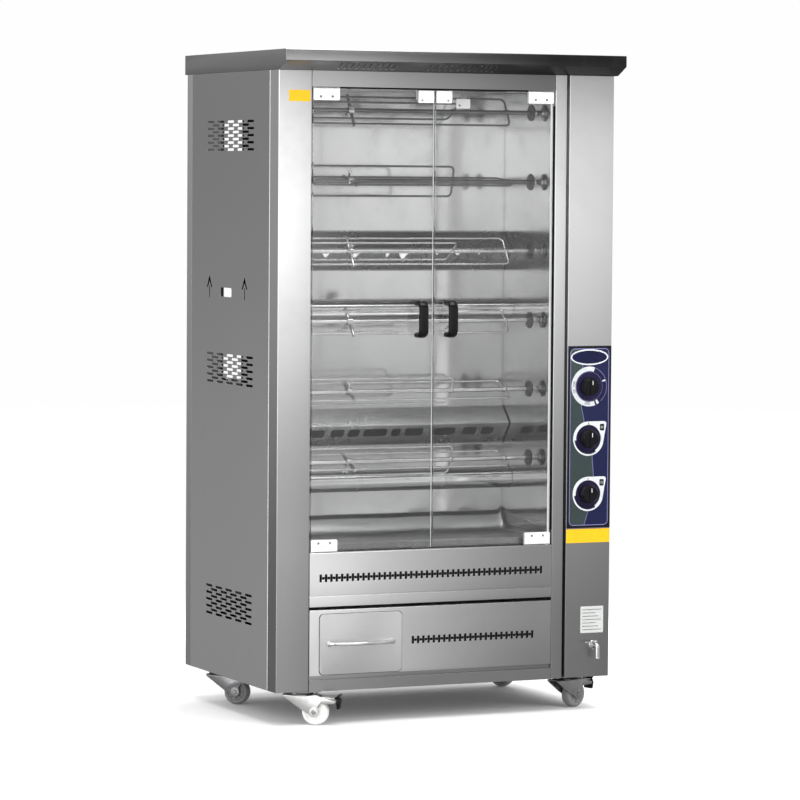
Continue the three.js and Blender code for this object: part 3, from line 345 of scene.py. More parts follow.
interiorSteel = brightMetal('brightInterior', 0.74, rough=0.1, sootAndShade=0.16)
# painted shade: the right wall is a darker copy of the interior steel, darker still towards its foot
rightWallSteel = brightMetal('rightWallInterior', 0.64, rough=0.1, sootAndShade=0.25, rise=(0.72, 1.15, 1.45))
traySteel = brightMetal('traySteel', 0.34, rough=0.2, sootAndShade=0.4, marks=0.4)
# painted highlight: a brighter steel for the side panel's hem
edgeSteel = brightMetal('edgeSteel', 0.93, rough=0.28, ripple=0.00005, sootAndShade=0.1, marks=0.1)
discSteel = brightMetal('discSteel', (0.06, 0.06, 0.062), rough=0.14, sootAndShade=0.2, marks=0.3, size=25.0)
spitSteel = brightMetal('spitSteel', (0.66, 0.66, 0.655), rough=0.15, sootAndShade=0.3, marks=0.4, wear=0.5 * mm, size=25.0)
# a darker steel for spits 5 and 6
darkerSpitRod = brightMetal('smokedSpitSteel', 0.17, rough=0.14, sootAndShade=0.3, marks=0.4, wear=0.5 * mm, size=25.0)
# Painted light and shade: each hood's tone depends on whether its faces look down, level or up, and the tube's
# bright level band between a darker top and bottom is a painted highlight
burnerSteel = brightMetal('burnerSteel', 0.5, rough=0.26, ripple=0.00002, sootAndShade=0.0, marks=0.05, size=9.0,
                          facingShades=(0.86, 1, 0.8))
lowHoodSteel = brightMetal('lowHoodSteel', 0.86, rough=0.26, ripple=0.00002, sootAndShade=0.0, marks=0.05, size=9.0,
                           facingShades=(0.6, 0.7, 1))
tubeSteel = brightMetal('tubeSteel', 0.97, rough=0.14, ripple=0.00003, sootAndShade=0.15, marks=0.1, size=9.0,
                        facingShades=(0.4, 1, 0.36))
# painted light: the ceramic behind the upper hood glows though it is no lamp
ceramic = moulded('burnerCeramic', (0.9, 0.9, 0.88), rough=0.7, texture=0.0002, scale=400.0,
                  worn=(0.95, 0.95, 0.93), dustAndShade=(0.6, 0.59, 0.57), glow=0.55)
# painted shade: a black ceramic behind the lower hood's cut-outs
shadowCeramic = moulded('sootedCeramic', 0.03, rough=0.7, texture=0.0002, scale=400.0, worn=0.05, dustAndShade=0.03, gloss=0.1)
chrome = brightMetal('chromePlate', 0.78, rough=0.05, ripple=0.0001, sootAndShade=0.2, marks=0.15, size=20.0)
hingeZinc = moulded('satinHinge', (0.76, 0.76, 0.755), rough=0.32, texture=0.00001, worn=(0.95, 0.95, 0.94),
                    dustAndShade=(0.5, 0.5, 0.49), coat=0.5, wear=0.6 * mm)
hingeScrew = brightMetal('hingeScrew', 0.34, rough=0.3, sootAndShade=0.4, size=30.0)
# the darker zinc is worn zinc on the bolts and also painted shade on the forks of the castors in shadow
castorZinc = {
    'bright': brightMetal('castorZinc', (0.9, 0.9, 0.89), rough=0.34, sootAndShade=0.4, marks=0.2, size=30.0),
    'worn': brightMetal('wornZinc', (0.42, 0.42, 0.43), rough=0.26, sootAndShade=0.5, marks=0.5, size=30.0),
}
brass = brightMetal('turnedBrass', (0.62, 0.44, 0.2), rough=0.22, sootAndShade=0.4, marks=0.4, size=20.0)
doorGlass = paneGlass('doorGlass')
blackPlastic = moulded('blackHandle', (0.004, 0.004, 0.005), rough=0.16, worn=(0.03, 0.03, 0.031), dustAndShade=0.01,
                       gloss=0.22)
# the grey nylon is painted shade: a darker copy of the white wheels
nylon = {
    'bright': moulded('whiteNylon', (0.86, 0.86, 0.84), rough=0.45, worn=(0.9, 0.9, 0.88), dustAndShade=(0.4, 0.39, 0.37)),
    'worn': moulded('greyNylon', 0.2, rough=0.4, worn=(0.5, 0.5, 0.49), dustAndShade=0.12),
}
motorPaint = moulded('motorPaint', (0.1, 0.11, 0.12), rough=0.5, texture=0.0003, scale=250.0)
foil = brightMetal('crumpledFoil', 0.46, rough=0.3, ripple=0.0003, sootAndShade=0.3, marks=0.2, size=8.0)
# a black for sheets put behind vents and slots as painted shade
darkInside = moulded('darkInside', (0.008, 0.008, 0.009), rough=0.7, worn=0.02, dustAndShade=0.01, gloss=0.1)
rubber = moulded('blackRubber', 0.006, rough=0.55, worn=0.03, dustAndShade=0.01, gloss=0.15)
glassEdge = moulded('groundEdge', (0.66, 0.69, 0.68), rough=0.5, texture=0.00001, worn=(0.6, 0.63, 0.62))
# a black put in groove floors, burner ports and hood ends as painted shadow
paintedShadow = moulded('stampShadow', 0.02, rough=0.6, worn=0.04, dustAndShade=0.02, gloss=0.2)
print('finishes made')

# The pieces that keep their plain shape; all the others are made below
plain = {
    'base_chassis': steel['rail'], 'chamber_left_wall': interiorSteel, 'chamber_right_wall': rightWallSteel,
    'chamber_back_wall': interiorSteel, 'chamber_roof': steel['header'], 'drip_tray': traySteel,
    'gas_manifold': brass, 'drive_motor': motorPaint, 'drive_chain': burnerSteel,
}
for name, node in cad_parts.items():
    node.data.materials.clear()
    node.data.materials.append(plain.get(name, steel['shell']))


# Camera, floor and studio

viewLook = {'place': (-4.4033, -9.6190, 1.4592), 'yaw': 24.585, 'pitch': 3.299, 'roll': 0.408, 'lens': 171.1}
studioLook = {
    'floorWhite': 0.86,
    'room': {'camera': 0.992, 'soft': 0.95, 'up': 0.9, 'level': 0.5, 'down': 0.32, 'behind': 0.85},
    'boxes': [
        # name, place, aim, width, height, watts
        ('keyBox', (1.9, -3.4, 1.9), (0.0, -0.3, 1.0), 1.6, 2.2, 60.0),
        ('leftBox', (-3.4, -1.6, 2.4), (-0.5, 0.0, 0.9), 1.6, 2.4, 40.0),
        ('topBox', (0.0, -0.6, 4.2), (0.0, 0.0, 0.0), 3.2, 3.2, 140.0),
        ('rearBox', (1.7, 3.4, 2.4), (0.0, 0.3, 0.5), 1.4, 1.8, 110.0),
    ],
    'jamb': {'x': 312 * mm, 'step': 2 * mm, 'glow': 0.8},
    'strip': {'x': -2.2, 'y': (-3.2, -0.3), 'z': (-0.2, 2.4), 'glow': 1.7},
    # A reflector in front: heights with their brightness, then places across
    'card': {
        'y': -1.32, 'x': (-0.7, 2.2), 'z': (-0.5, 2.3),
        'heights': [(-0.2, 0.6), (0.1, 0.6), (0.22, 0.78), (0.38, 0.84), (0.5, 0.6), (0.75, 0.62),
                    (1.15, 0.96), (1.62, 1.05), (1.74, 0.62), (1.8, 0.32), (1.88, 0.12)],
        'across': [(-0.7, 1.3), (-0.1, 1.3), (0.06, 1.2), (0.2, 0.78), (0.32, 0.68), (0.42, 0.8),
                   (0.55, 0.93), (0.9, 0.88), (1.5, 0.7)],
    },
}


def makeCamera():
    data = bpy.data.cameras.new('studioCamera')
    data.lens = viewLook['lens']
    data.sensor_width = 36.0
    data.clip_end = 60.0
    camera = bpy.data.objects.new('studioCamera', data)
    bpy.context.scene.collection.objects.link(camera)
    yaw, pitch, roll = (math.radians(viewLook[key]) for key in ('yaw', 'pitch', 'roll'))
    forward = Vector((math.sin(yaw) * math.cos(pitch), math.cos(yaw) * math.cos(pitch), -math.sin(pitch)))
    right = Vector((math.cos(yaw), -math.sin(yaw), 0))
    up = right.cross(forward)
    tiltedRight = math.cos(roll) * right + math.sin(roll) * up
    tiltedUp = math.cos(roll) * up - math.sin(roll) * right
    turn = Matrix((tiltedRight, tiltedUp, -forward)).transposed().to_4x4()
    camera.matrix_world = Matrix.Translation(viewLook['place']) @ turn
    bpy.context.scene.camera = camera


def makeStudio():
    scene = bpy.context.scene
    scene.view_settings.view_transform = 'Standard'
    for name, place, aim, width, height, watts in studioLook['boxes']:
        data = bpy.data.lights.new(name, 'AREA')
        data.shape, data.size, data.size_y, data.energy = 'RECTANGLE', width, height, watts
        box = bpy.data.objects.new(name, data)
        scene.collection.objects.link(box)
        box.location = place
        box.rotation_euler = (Vector(aim) - Vector(place)).to_track_quat('-Z', 'Y').to_euler()
        box.visible_camera = False
        box.visible_glossy = name == 'topBox'
    room = studioLook['room']
    world = bpy.data.worlds.new('paleRoom')
    scene.world = world
    world.use_nodes = True
    tree = world.node_tree
    tree.nodes.clear()
    way = put(tree, 'ShaderNodeSeparateXYZ', {0: tree.nodes.new('ShaderNodeTexCoord').outputs['Generated']})
    upper = spread(tree, way.outputs['Z'], 0.0, 0.7, room['level'], room['up'])
    lower = spread(tree, way.outputs['Z'], -0.35, 0.0, room['down'], room['level'])
    above = sums(tree, 'GREATER_THAN', way.outputs['Z'], 0.0)
    height = sums(tree, 'MAXIMUM', sums(tree, 'MULTIPLY', upper, above), lower)
    glow = sums(tree, 'MULTIPLY', height, spread(tree, way.outputs['Y'], -0.2, 0.9, 1.0, room['behind']))
    path = tree.nodes.new('ShaderNodeLightPath')
    sharp = sums(tree, 'MAXIMUM', path.outputs['Is Glossy Ray'], path.outputs['Is Transmission Ray'])
    power = put(tree, 'ShaderNodeMix', {0: sharp, 2: room['soft'], 3: glow})
    power = put(tree, 'ShaderNodeMix', {0: path.outputs['Is Camera Ray'], 2: power.outputs[0], 3: room['camera']})
    back = put(tree, 'ShaderNodeBackground', {'Color': grey(1.0), 'Strength': power.outputs[0]})
    put(tree, 'ShaderNodeOutputWorld', {0: back.outputs[0]})
    # A round floor that fades into the room
    bm = bmesh.new()
    bmesh.ops.create_circle(bm, cap_ends=True, radius=14.0, segments=96)
    mesh = bpy.data.meshes.new('paleFloor')
    bm.to_mesh(mesh)
    bm.free()
    floor = bpy.data.objects.new('paleFloor', mesh)
    scene.collection.objects.link(floor)
    material, tree, shader, place = newMaterial('paleFloor')
    grainy = put(tree, 'ShaderNodeTexNoise', {'Vector': place, 'Scale': 3.0, 'Detail': 2.0})
    shade = mixed(tree, grainy.outputs[0], grey(studioLook['floorWhite']), grey(studioLook['floorWhite'] * 0.985))
    tree.links.new(shade, shader.inputs['Base Color'])
    shader.inputs['Roughness'].default_value = 0.9
    shader.inputs['Specular IOR Level'].default_value = 0.1
    away = put(tree, 'ShaderNodeVectorMath', {0: place}, operation='LENGTH')
    fade = put(tree, 'ShaderNodeMapRange', {0: away.outputs['Value'], 1: 1.2, 2: 3.2, 3: 0.0, 4: 1.0},
               interpolation_type='SMOOTHSTEP')
    white = put(tree, 'ShaderNodeEmission', {'Color': grey(1.0), 'Strength': 1.0})
    blend = put(tree, 'ShaderNodeMixShader', {0: fade.outputs[0], 1: shader.outputs[0], 2: white.outputs[0]})
    tree.links.new(blend.outputs[0], tree.nodes['Material Output'].inputs[0])
    mesh.materials.append(material)
    floor.visible_glossy = False


def rampOf(tree, value, stops):
    low, high = stops[0][0], stops[-1][0]
    made = put(tree, 'ShaderNodeValToRGB', {0: spread(tree, value, low, high, 0.0, 1.0)})
    keys = made.color_ramp.elements
    while len(keys) < len(stops):
        keys.new(0.5)
    for key, (at, value) in zip(keys, stops):
        key.position = (at - low) / (high - low)
        key.color = grey(value)
    return made.outputs[0]


def reflector(name, corners):
    # A glowing sheet that only mirrors and bright metal see
    bm = bmesh.new()
    bm.faces.new([bm.verts.new(c) for c in corners])
    mesh = bpy.data.meshes.new(name)
    bm.to_mesh(mesh)
    bm.free()
    sheet = bpy.data.objects.new(name, mesh)
    bpy.context.scene.collection.objects.link(sheet)
    sheet.visible_camera = sheet.visible_diffuse = sheet.visible_shadow = False
    material = bpy.data.materials.new(name)
    material.use_nodes = True
    material.node_tree.nodes.clear()
    mesh.materials.append(material)
    return material.node_tree


def glowing(tree, strength):
    light = put(tree, 'ShaderNodeEmission', {'Color': grey(1.0), 'Strength': strength})
    put(tree, 'ShaderNodeOutputMaterial', {0: light.outputs[0]})


def makeCards():
    card = studioLook['card']
    around = ((0, 0), (1, 0), (1, 1), (0, 1))
    tree = reflector('gradedCard', [(card['x'][i], card['y'], card['z'][k]) for i, k in around])
    place = put(tree, 'ShaderNodeSeparateXYZ', {0: tree.nodes.new('ShaderNodeTexCoord').outputs['Object']})
    upward = rampOf(tree, place.outputs['Z'], card['heights'])
    sideways = rampOf(tree, place.outputs['X'], card['across'])
    glowing(tree, sums(tree, 'MULTIPLY', upward, sideways))
    # a plain one at the left lights the rounded upright corners
    strip = studioLook['strip']
    tree = reflector('cornerCard', [(strip['x'], strip['y'][i], strip['z'][k]) for i, k in around])
    glowing(tree, strip['glow'])
    # and one behind the right jamb keeps its mirror image from going black
    jamb, wall = studioLook['jamb'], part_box('chamber_right_wall')
    x, z = (jamb['x'], wall[1].x - 2 * mm), (wall[0].z, wall[1].z)
    tree = reflector('jambCard', [(x[i], wall[0].y + jamb['step'], z[k]) for i, k in around])
    glowing(tree, jamb['glow'])


makeCamera()
makeCards()
makeStudio()
print('camera and studio made')

# Shapes

def arcCorner(before, corner, after, radius, steps):
    back, on = (before - corner), (after - corner)
    turn = math.pi - back.angle(on)
    reach = min(radius * math.tan(turn / 2), 0.49 * back.length, 0.49 * on.length)
    weight = math.cos(turn / 2)
    first, last = corner + back.normalized() * reach, corner + on.normalized() * reach
    made = []
    for i in range(steps + 1):
        t = i / steps
        a, b, c = (1 - t) ** 2, 2 * weight * t * (1 - t), t * t
        made.append((first * a + corner * b + last * c) / (a + b + c))
    return made


def rounded(points, radius, steps=4, closed=False):
    points = [Vector(p) for p in points]
    made = []
    for i, p in enumerate(points):
        if not closed and i in (0, len(points) - 1):
            made.append(p.copy())
        else:
            made += arcCorner(points[i - 1], p, points[(i + 1) % len(points)], radius, steps)
    return made


def box2d(a0, a1, b0, b1, radius=0.0, steps=4):
    corners = [(a0, b0), (a1, b0), (a1, b1), (a0, b1)]
    return rounded(corners, radius, steps, True) if radius else [Vector(c) for c in corners]


def arc2d(centre, radius, start, end, steps):
    # Degrees, anticlockwise from the first axis
    return [Vector((centre[0] + radius * math.cos(math.radians(start + (end - start) * i / steps)),
                    centre[1] + radius * math.sin(math.radians(start + (end - start) * i / steps))))
            for i in range(steps + 1)]


def circle2d(centre, radius, steps=32):
    return arc2d(centre, radius, 0, 360, steps)[:-1]


def lifted(axis, a, b, c):
    # Outlines are (y, z) along x, (x, z) along y and (x, y) along z
    return Vector({'x': (c, a, b), 'y': (a, c, b), 'z': (a, b, c)}[axis])


def fullTurn(count):
    return [2 * math.pi * k / count for k in range(count)]


def swell(value, power):
    # Squares a circle off when the power is below 1
    return math.copysign(abs(value) ** power, value)


def skin(bm, rings, closed=False, capped=True):
    rows = list(zip(rings, rings[1:] + rings[:1])) if closed else list(zip(rings, rings[1:]))
    for first, second in rows:
        n = max(len(first), len(second))
        for k in range(n):
            after = k + 1
            loop = [first[k % len(first)], first[after % len(first)], second[after % len(second)],
                    second[k % len(second)]]
            loop = [v for i, v in enumerate(loop) if v not in loop[:i]]
            if len(loop) > 2:
                bm.faces.new(loop)
    if capped and not closed:
        for ring in (rings[0], rings[-1]):
            if len(ring) > 2:
                bm.faces.new(ring)


def slab(bm, outline, axis, low, high):
    skin(bm, [[bm.verts.new(lifted(axis, p[0], p[1], c)) for p in outline] for c in (low, high)])


def turned(bm, profile, place, axis, segments=32, closed=False):
    # Pairs of radius and distance along the axis
    axis = Vector(axis).normalized()
    side = Vector((0, 0, 1)) if abs(axis.z) < 0.9 else Vector((1, 0, 0))
    side = (side - axis * side.dot(axis)).normalized()
    other = axis.cross(side)
    rings = []
    for radius, along in profile:
        middle = Vector(place) + axis * along
        if radius < 1e-7:
            rings.append([bm.verts.new(middle)])
        else:
            rings.append([bm.verts.new(middle + (side * math.cos(t) + other * math.sin(t)) * radius)
                          for t in fullTurn(segments)])
    skin(bm, rings, closed)


def tube(bm, path, radius, sides, up=None):
    # A bar along a path; radius may be a list with one value a point
    path = [Vector(p) for p in path]
    radii = radius if isinstance(radius, (list, tuple)) else [radius] * len(path)
    count = len(path)
    normal, rings = Vector(up) if up else None, []
    for i, p in enumerate(path):
        ahead, behind = path[min(i + 1, count - 1)], path[max(i - 1, 0)]
        tangent = (ahead - behind).normalized()
        if normal is None:
            normal = tangent.orthogonal()
        normal = (normal - tangent * normal.dot(tangent)).normalized()
        side = tangent.cross(normal)
        rings.append([bm.verts.new(p + (normal * math.cos(t) + side * math.sin(t)) * radii[i])
                      for t in fullTurn(sides)])
    skin(bm, rings)


def inside2d(p, loop):
    odd = False
    for a, b in zip(loop, list(loop[1:]) + [loop[0]]):
        if (a[1] > p[1]) != (b[1] > p[1]) and p[0] < a[0] + (b[0] - a[0]) * (p[1] - a[1]) / (b[1] - a[1]):
            odd = not odd
    return odd


def perforated(bm, outline, holes, axis, low, high):
    # A plate with holes: triangles on both faces, walls round every edge
    places, edges = [], []
    for loop in [outline] + holes:
        start = len(places)
        places += [Vector(p) for p in loop]
        edges += [(start + i, start + (i + 1) % len(loop)) for i in range(len(loop))]
    flatPoints, _, faces = delaunay_2d_cdt(places, edges, [], 1, 1e-9)[:3]
    frames = [[f(p[i] for p in h) for i in (0, 1) for f in (min, max)] + [h] for h in holes]

    def isOpen(face):
        a, b = (sum(flatPoints[k][i] for k in face) / len(face) for i in (0, 1))
        return any(a0 < a < a1 and b0 < b < b1 and inside2d((a, b), hole) for a0, a1, b0, b1, hole in frames)

    faces = [face for face in faces if not isOpen(face)]
    sides = [[bm.verts.new(lifted(axis, p[0], p[1], c)) for p in flatPoints] for c in (low, high)]
    used = {}
    for face in faces:
        bm.faces.new([sides[0][k] for k in face])
        bm.faces.new([sides[1][k] for k in reversed(face)])
        for k, other in zip(face, face[1:] + face[:1]):
            key = (min(k, other), max(k, other))
            used[key] = used.get(key, 0) + 1
    for (k, other), times in used.items():
        if times == 1:
            bm.faces.new([sides[0][k], sides[0][other], sides[1][other], sides[1][k]])
    loose = [v for v in bm.verts if not v.link_faces]
    bmesh.ops.delete(bm, geom=loose, context='VERTS')


def foldedOutline(line, thickness, bend=1.5 * mm, steps=3):
    # The section of a folded sheet: the line is its outer face, thickened to the left
    line = [Vector(p) for p in line]
    normals = [Vector((-(b - a).y, (b - a).x)).normalized() for a, b in zip(line, line[1:])]
    inner = []
    for i, p in enumerate(line):
        before, after = normals[max(i - 1, 0)], normals[min(i, len(normals) - 1)]
        mitre = (before + after).normalized()
        inner.append(p + mitre * (thickness / mitre.dot(after)))
    outer = rounded(line, bend, steps)
    return outer + rounded(inner, bend * 0.45, steps)[::-1]


def outward(bm):
    # Turns every face outwards
    bmesh.ops.recalc_face_normals(bm, faces=bm.faces)
    return bm


def inMm(*pairs):
    return [(a * mm, b * mm) for a, b in pairs]


def softEdges(bm, width, segments=2, angle=32):
    outward(bm)
    sharp = [e for e in bm.edges if len(e.link_faces) == 2 and e.calc_face_angle(0) > math.radians(angle)]
    bmesh.ops.bevel(bm, geom=sharp, offset=width, offset_type='OFFSET', segments=segments, profile=0.5,
                    affect='EDGES', clamp_overlap=True)


def shape(build, soften=0.0, segments=2, angle=32, place=None):
    # One closed shape from a function that fills a bmesh
    bm = bmesh.new()
    build(bm)
    if soften:
        softEdges(bm, soften, segments, angle)
    outward(bm)
    if place is not None:
        bm.transform(place)
    return bm


def plate(outline, axis, low, high, soften=0.0, segments=2, angle=32, place=None):
    # A flat outline given a thickness along an axis
    return shape(lambda bm: slab(bm, outline, axis, low, high), soften, segments, angle, place)


def lathe(profile, at, axis, segments=32, closed=False, place=None):
    # A profile turned round an axis that starts at a point
    return shape(lambda bm: turned(bm, profile, at, axis, segments, closed), place=place)


def makePiece(name, shapes, body='root', stands=(), smooth=38):
    # shapes: pairs of bmesh and material
    whole, materials = bmesh.new(), []
    for bm, material in shapes:
        if material not in materials:
            materials.append(material)
        for face in bm.faces:
            face.material_index = materials.index(material)
        carrier = bpy.data.meshes.new('carrier')
        bm.to_mesh(carrier)
        bm.free()
        whole.from_mesh(carrier)
        bpy.data.meshes.remove(carrier)
    mesh = bpy.data.meshes.new(name)
    whole.to_mesh(mesh)
    whole.free()
    for material in materials:
        mesh.materials.append(material)
    mesh.polygons.foreach_set('use_smooth', [True] * len(mesh.polygons))
    mesh.set_sharp_from_angle(angle=math.radians(smooth))
    piece = bpy.data.objects.new(name, mesh)
    bpy.context.scene.collection.objects.link(piece)
    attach(piece, body)
    if stands:
        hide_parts(*stands)
    return piece


def carved(stock, tools, way='DIFFERENCE'):
    # Cuts the tools' shapes out of the stock and gives a new bmesh
    objects = []
    for bm in (stock, tools):
        mesh = bpy.data.meshes.new('cutter')
        bm.to_mesh(mesh)
        bm.free()
        objects.append(bpy.data.objects.new('cutter', mesh))
        bpy.context.scene.collection.objects.link(objects[-1])
    cut = objects[0].modifiers.new('cut', 'BOOLEAN')
    cut.operation, cut.solver, cut.object = way, 'EXACT', objects[1]
    result = bpy.data.meshes.new_from_object(objects[0].evaluated_get(bpy.context.evaluated_depsgraph_get()))
    made = bmesh.new()
    made.from_mesh(result)
    for item in objects:
        data = item.data
        bpy.data.objects.remove(item)
        bpy.data.meshes.remove(data)
    bpy.data.meshes.remove(result)
    return made


def screwHead(bm, place, axis, radius, height):
    # A low domed head with a recess; shares of its radius and height
    section = ((0, 0), (1, 0), (1, 0.35), (0.82, 0.75), (0.5, 0.95), (0.35, 1), (0.28, 0.35), (0, 0.35))
    turned(bm, [(radius * across, height * up) for across, up in section], place, axis, 16)


def screwSet(heads, radius, height):
    # Heads given by their places and the way they face
    bm = bmesh.new()
    for place, way in heads:
        screwHead(bm, place, way, radius, height)
    return outward(bm)


print('shape tools ready')

centreX = (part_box('rear_cover')[0].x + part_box('rear_cover')[1].x) / 2     # the cabinet's middle
doorLow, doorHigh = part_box('left_door_glass')[0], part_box('right_door_glass')[1]
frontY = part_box('control_column_front')[0].y
sheetThick = 1.5 * mm


# Side panels with staggered vents, a lift hole and two stamped arrows

ventLook = {
    'length': 48 * mm, 'height': 6.9 * mm, 'pitch': 71.5 * mm, 'rowPitch': 9.5 * mm, 'rows': 9, 'perRow': 5,
    'middle': 21.5 * mm, 'levels': (296 * mm, 941 * mm, 1579 * mm), 'screwInset': 14 * mm,
    'hem': (3.6 * mm, 2.6 * mm), 'seam': 35.6 * mm,
}
liftLook = {'middle': 50.5 * mm, 'level': 1151 * mm, 'width': 81 * mm, 'height': 25 * mm, 'corner': 6 * mm}
arrowLook = {'places': (172 * mm, -83 * mm), 'foot': 1134 * mm, 'length': 56 * mm, 'head': 28 * mm,
             'stroke': 6.6 * mm}


def ventHoles(level):
    made, half = [], ventLook['height'] / 2
    for row in range(ventLook['rows']):
        count = ventLook['perRow'] - row % 2
        z = level + (row - (ventLook['rows'] - 1) / 2) * ventLook['rowPitch']
        for i in range(count):
            y = ventLook['middle'] + (i - (count - 1) / 2) * ventLook['pitch']
            reach = ventLook['length'] / 2
            made.append(box2d(y - reach, y + reach, z - half, z + half, half * 0.98, 3))
    return made


def arrowOutline(middle):
    # Two strokes for the head and one for the shaft
    foot, half = arrowLook['foot'], arrowLook['stroke'] / 2
    top = foot + arrowLook['length']
    neck, wide = top - arrowLook['head'], 17 * mm
    head = [(middle, top + half * 2), (middle + wide + half, neck), (middle + wide - half * 1.6, neck),
            (middle, top - half * 3.4), (middle - wide + half * 1.6, neck), (middle - wide - half, neck)]
    shaft = box2d(middle - half, middle + half, foot, neck + half, 1.2 * mm)
    return [head[::-1], shaft]


def sidePanel(node, material, levels, lift):
    low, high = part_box(node)
    high = Vector((high.x, high.y - ventLook['seam'], high.z))      # the rear cover wraps round from there
    holes = [hole for level in levels for hole in ventHoles(level)]
    parts = []
    if lift:
        # the front edge is turned in at a slant and catches the light; its brighter steel is a painted highlight
        reach, depth = ventLook['hem']
        start, thick = low.y, high.x - low.x
        low = Vector((low.x, low.y + reach, low.z))
        hem = [(low.x, low.y), (low.x + depth, start), (low.x + depth + thick, start + thick),
               (low.x + thick, low.y)]
        parts.append((plate(hem, 'z', low.z, high.z, 0.3 * mm, 1), edgeSteel))
        reach, rise = liftLook['width'] / 2, liftLook['height'] / 2
        holes.append(box2d(liftLook['middle'] - reach, liftLook['middle'] + reach, liftLook['level'] - rise,
                           liftLook['level'] + rise, liftLook['corner']))
        # the stamped strokes are cut right through a thin outer skin, so they read as grooves, and their floors are
        # painted shadow
        strokes = [s for y in arrowLook['places'] for s in arrowOutline(y)]
        outer = low.x + 0.35 * mm
        edge = box2d(low.y, high.y, low.z, high.z)
        parts.append((shape(lambda bm: perforated(bm, edge, holes + strokes, 'x', low.x, outer)), material))
        parts.append((shape(lambda bm: perforated(bm, edge, holes, 'x', outer, high.x)), material))
        for stroke in strokes:
            parts.append((plate(stroke, 'x', outer, outer + 0.05 * mm), paintedShadow))
    else:
        edge = box2d(low.y, high.y, low.z, high.z)
        parts.append((shape(lambda bm: perforated(bm, edge, holes, 'x', low.x, high.x)), material))
    inset = ventLook['screwInset']
    rise = (high.z - low.z - 2 * inset) / 5
    heads = [] if lift else [((high.x, low.y + inset, low.z + inset + k * rise), (1, 0, 0)) for k in range(6)]
    parts.append((screwSet(heads, 4 * mm, 1.6 * mm), chrome))
    makePiece(node + 'Sheet', parts, 'root', [node])


# How far the board stays inside the wall's front, rear, foot and head, and its two faces
shadeBoardLook = {'insets': (12 * mm, 4 * mm, 6 * mm, 2 * mm), 'faces': (3.4 * mm, 0.3 * mm)}


def sideShadeBoard():
    # Dark board of painted shade on the outer face of the chamber's left wall, behind the vents
    low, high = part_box('chamber_left_wall')
    front, rear, foot, head = shadeBoardLook['insets']
    far, near = shadeBoardLook['faces']
    board = box2d(low.y + front, high.y - rear, low.z + foot, high.z - head, 3 * mm)
    makePiece('sideInsulationBoard', [(plate(board, 'x', low.x - far, low.x - near, 0.8 * mm), darkInside)])


sidePanel('left_side_panel', steel['leftSide'], ventLook['levels'], True)
sideShadeBoard()
sidePanel('right_side_panel', steel['rightSide'], ventLook['levels'][2:], False)


# Rear cover: a frame round the service opening, wrapped round both rear corners

rearLook = {
    'side': 105 * mm, 'foot': 896 * mm, 'head': 1691 * mm, 'inletLevel': 1171 * mm, 'inletRadius': 11 * mm,
    'wrap': 37 * mm, 'corner': 14 * mm, 'lip': 12 * mm, 'screwPitch': 190 * mm, 'screwInset': 22 * mm,
}


def rearCover():
    low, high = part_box('rear_cover')
    side, bottom, top = rearLook['side'], rearLook['foot'], rearLook['head']
    opening = box2d(low.x + side, high.x - side, bottom, top, rearLook['corner'], 5)
    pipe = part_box('gas_manifold')
    inlet = circle2d((pipe[1].x - 10 * mm, rearLook['inletLevel']), rearLook['inletRadius'], 24)
    edge = box2d(low.x, high.x, low.z, high.z)
    parts = [(shape(lambda bm: perforated(bm, edge, [opening, inlet], 'y', low.y, high.y)), steel['rear'])]
    # the wrap and the lip round the opening are thin folded strips
    for sign in (-1, 1):
        x = low.x if sign < 0 else high.x
        inside = x - sign * sheetThick
        strip = [(x, low.y), (x, high.y - rearLook['wrap']), (inside, high.y - rearLook['wrap']), (inside, low.y)]
        parts.append((plate(strip, 'z', low.z, high.z, 0.3 * mm), steel['rear']))
    inner = box2d(low.x + side + sheetThick, high.x - side - sheetThick, bottom + sheetThick, top - sheetThick,
                  rearLook['corner'], 5)

    def lip(bm):
        rings = [[bm.verts.new((p[0], y, p[1])) for p in loop] for loop, y in (
            (opening, high.y), (opening, low.y - rearLook['lip']), (inner, low.y - rearLook['lip']),
            (inner, high.y))]
        skin(bm, rings, closed=True)
    parts.append((shape(lip), steel['rear']))
    inset = rearLook['screwInset']
    places = [(x, low.z + inset + k * rearLook['screwPitch']) for x in (low.x + inset, high.x - inset)
              for k in range(9)]
    places += [(centreX + k * 0.2, z) for k in (-1.5, -0.5, 0.5, 1.5) for z in (low.z + inset, high.z - inset)]
    places += [(x, z) for x in (low.x + side - 20 * mm, high.x - side + 20 * mm)
               for z in (bottom + 60 * mm, (bottom + top) / 2, top - 60 * mm)]
    parts.append((screwSet([((x, high.y, z), (0, 1, 0)) for x, z in places], 4.2 * mm, 1.8 * mm), chrome))
    makePiece('rearCoverSheet', parts, 'root', ['rear_cover'])


rearCover()


# Upright sheets of the front: pillar, post and control column

uprightLook = {
    # node, finish, bend with its steps, and the inner flange where it is a short one
    'leftPillarSheet': ('left_front_pillar', 'pillar', 3.6 * mm, 6, 20 * mm),
    'rightPostSheet': ('right_front_post', 'post', 2.2 * mm, 4, None),
    'controlColumnSheet': ('control_column_front', 'column', 2.2 * mm, 4, None),
}


def upright(name):
    node, finish, bend, steps, flange = uprightLook[name]
    low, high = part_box(node)
    line = [(low.x, high.y), (low.x, low.y), (high.x, low.y), (high.x, low.y + flange if flange else high.y)]
    section = foldedOutline(line, sheetThick, bend, steps)
    sheet = plate(section, 'z', low.z, high.z, 0.25 * mm, 1)
    makePiece(name, [(sheet, steel[finish])], 'root', [node])


for name in uprightLook:
    upright(name)


# Canopy with slots in its sloping underside

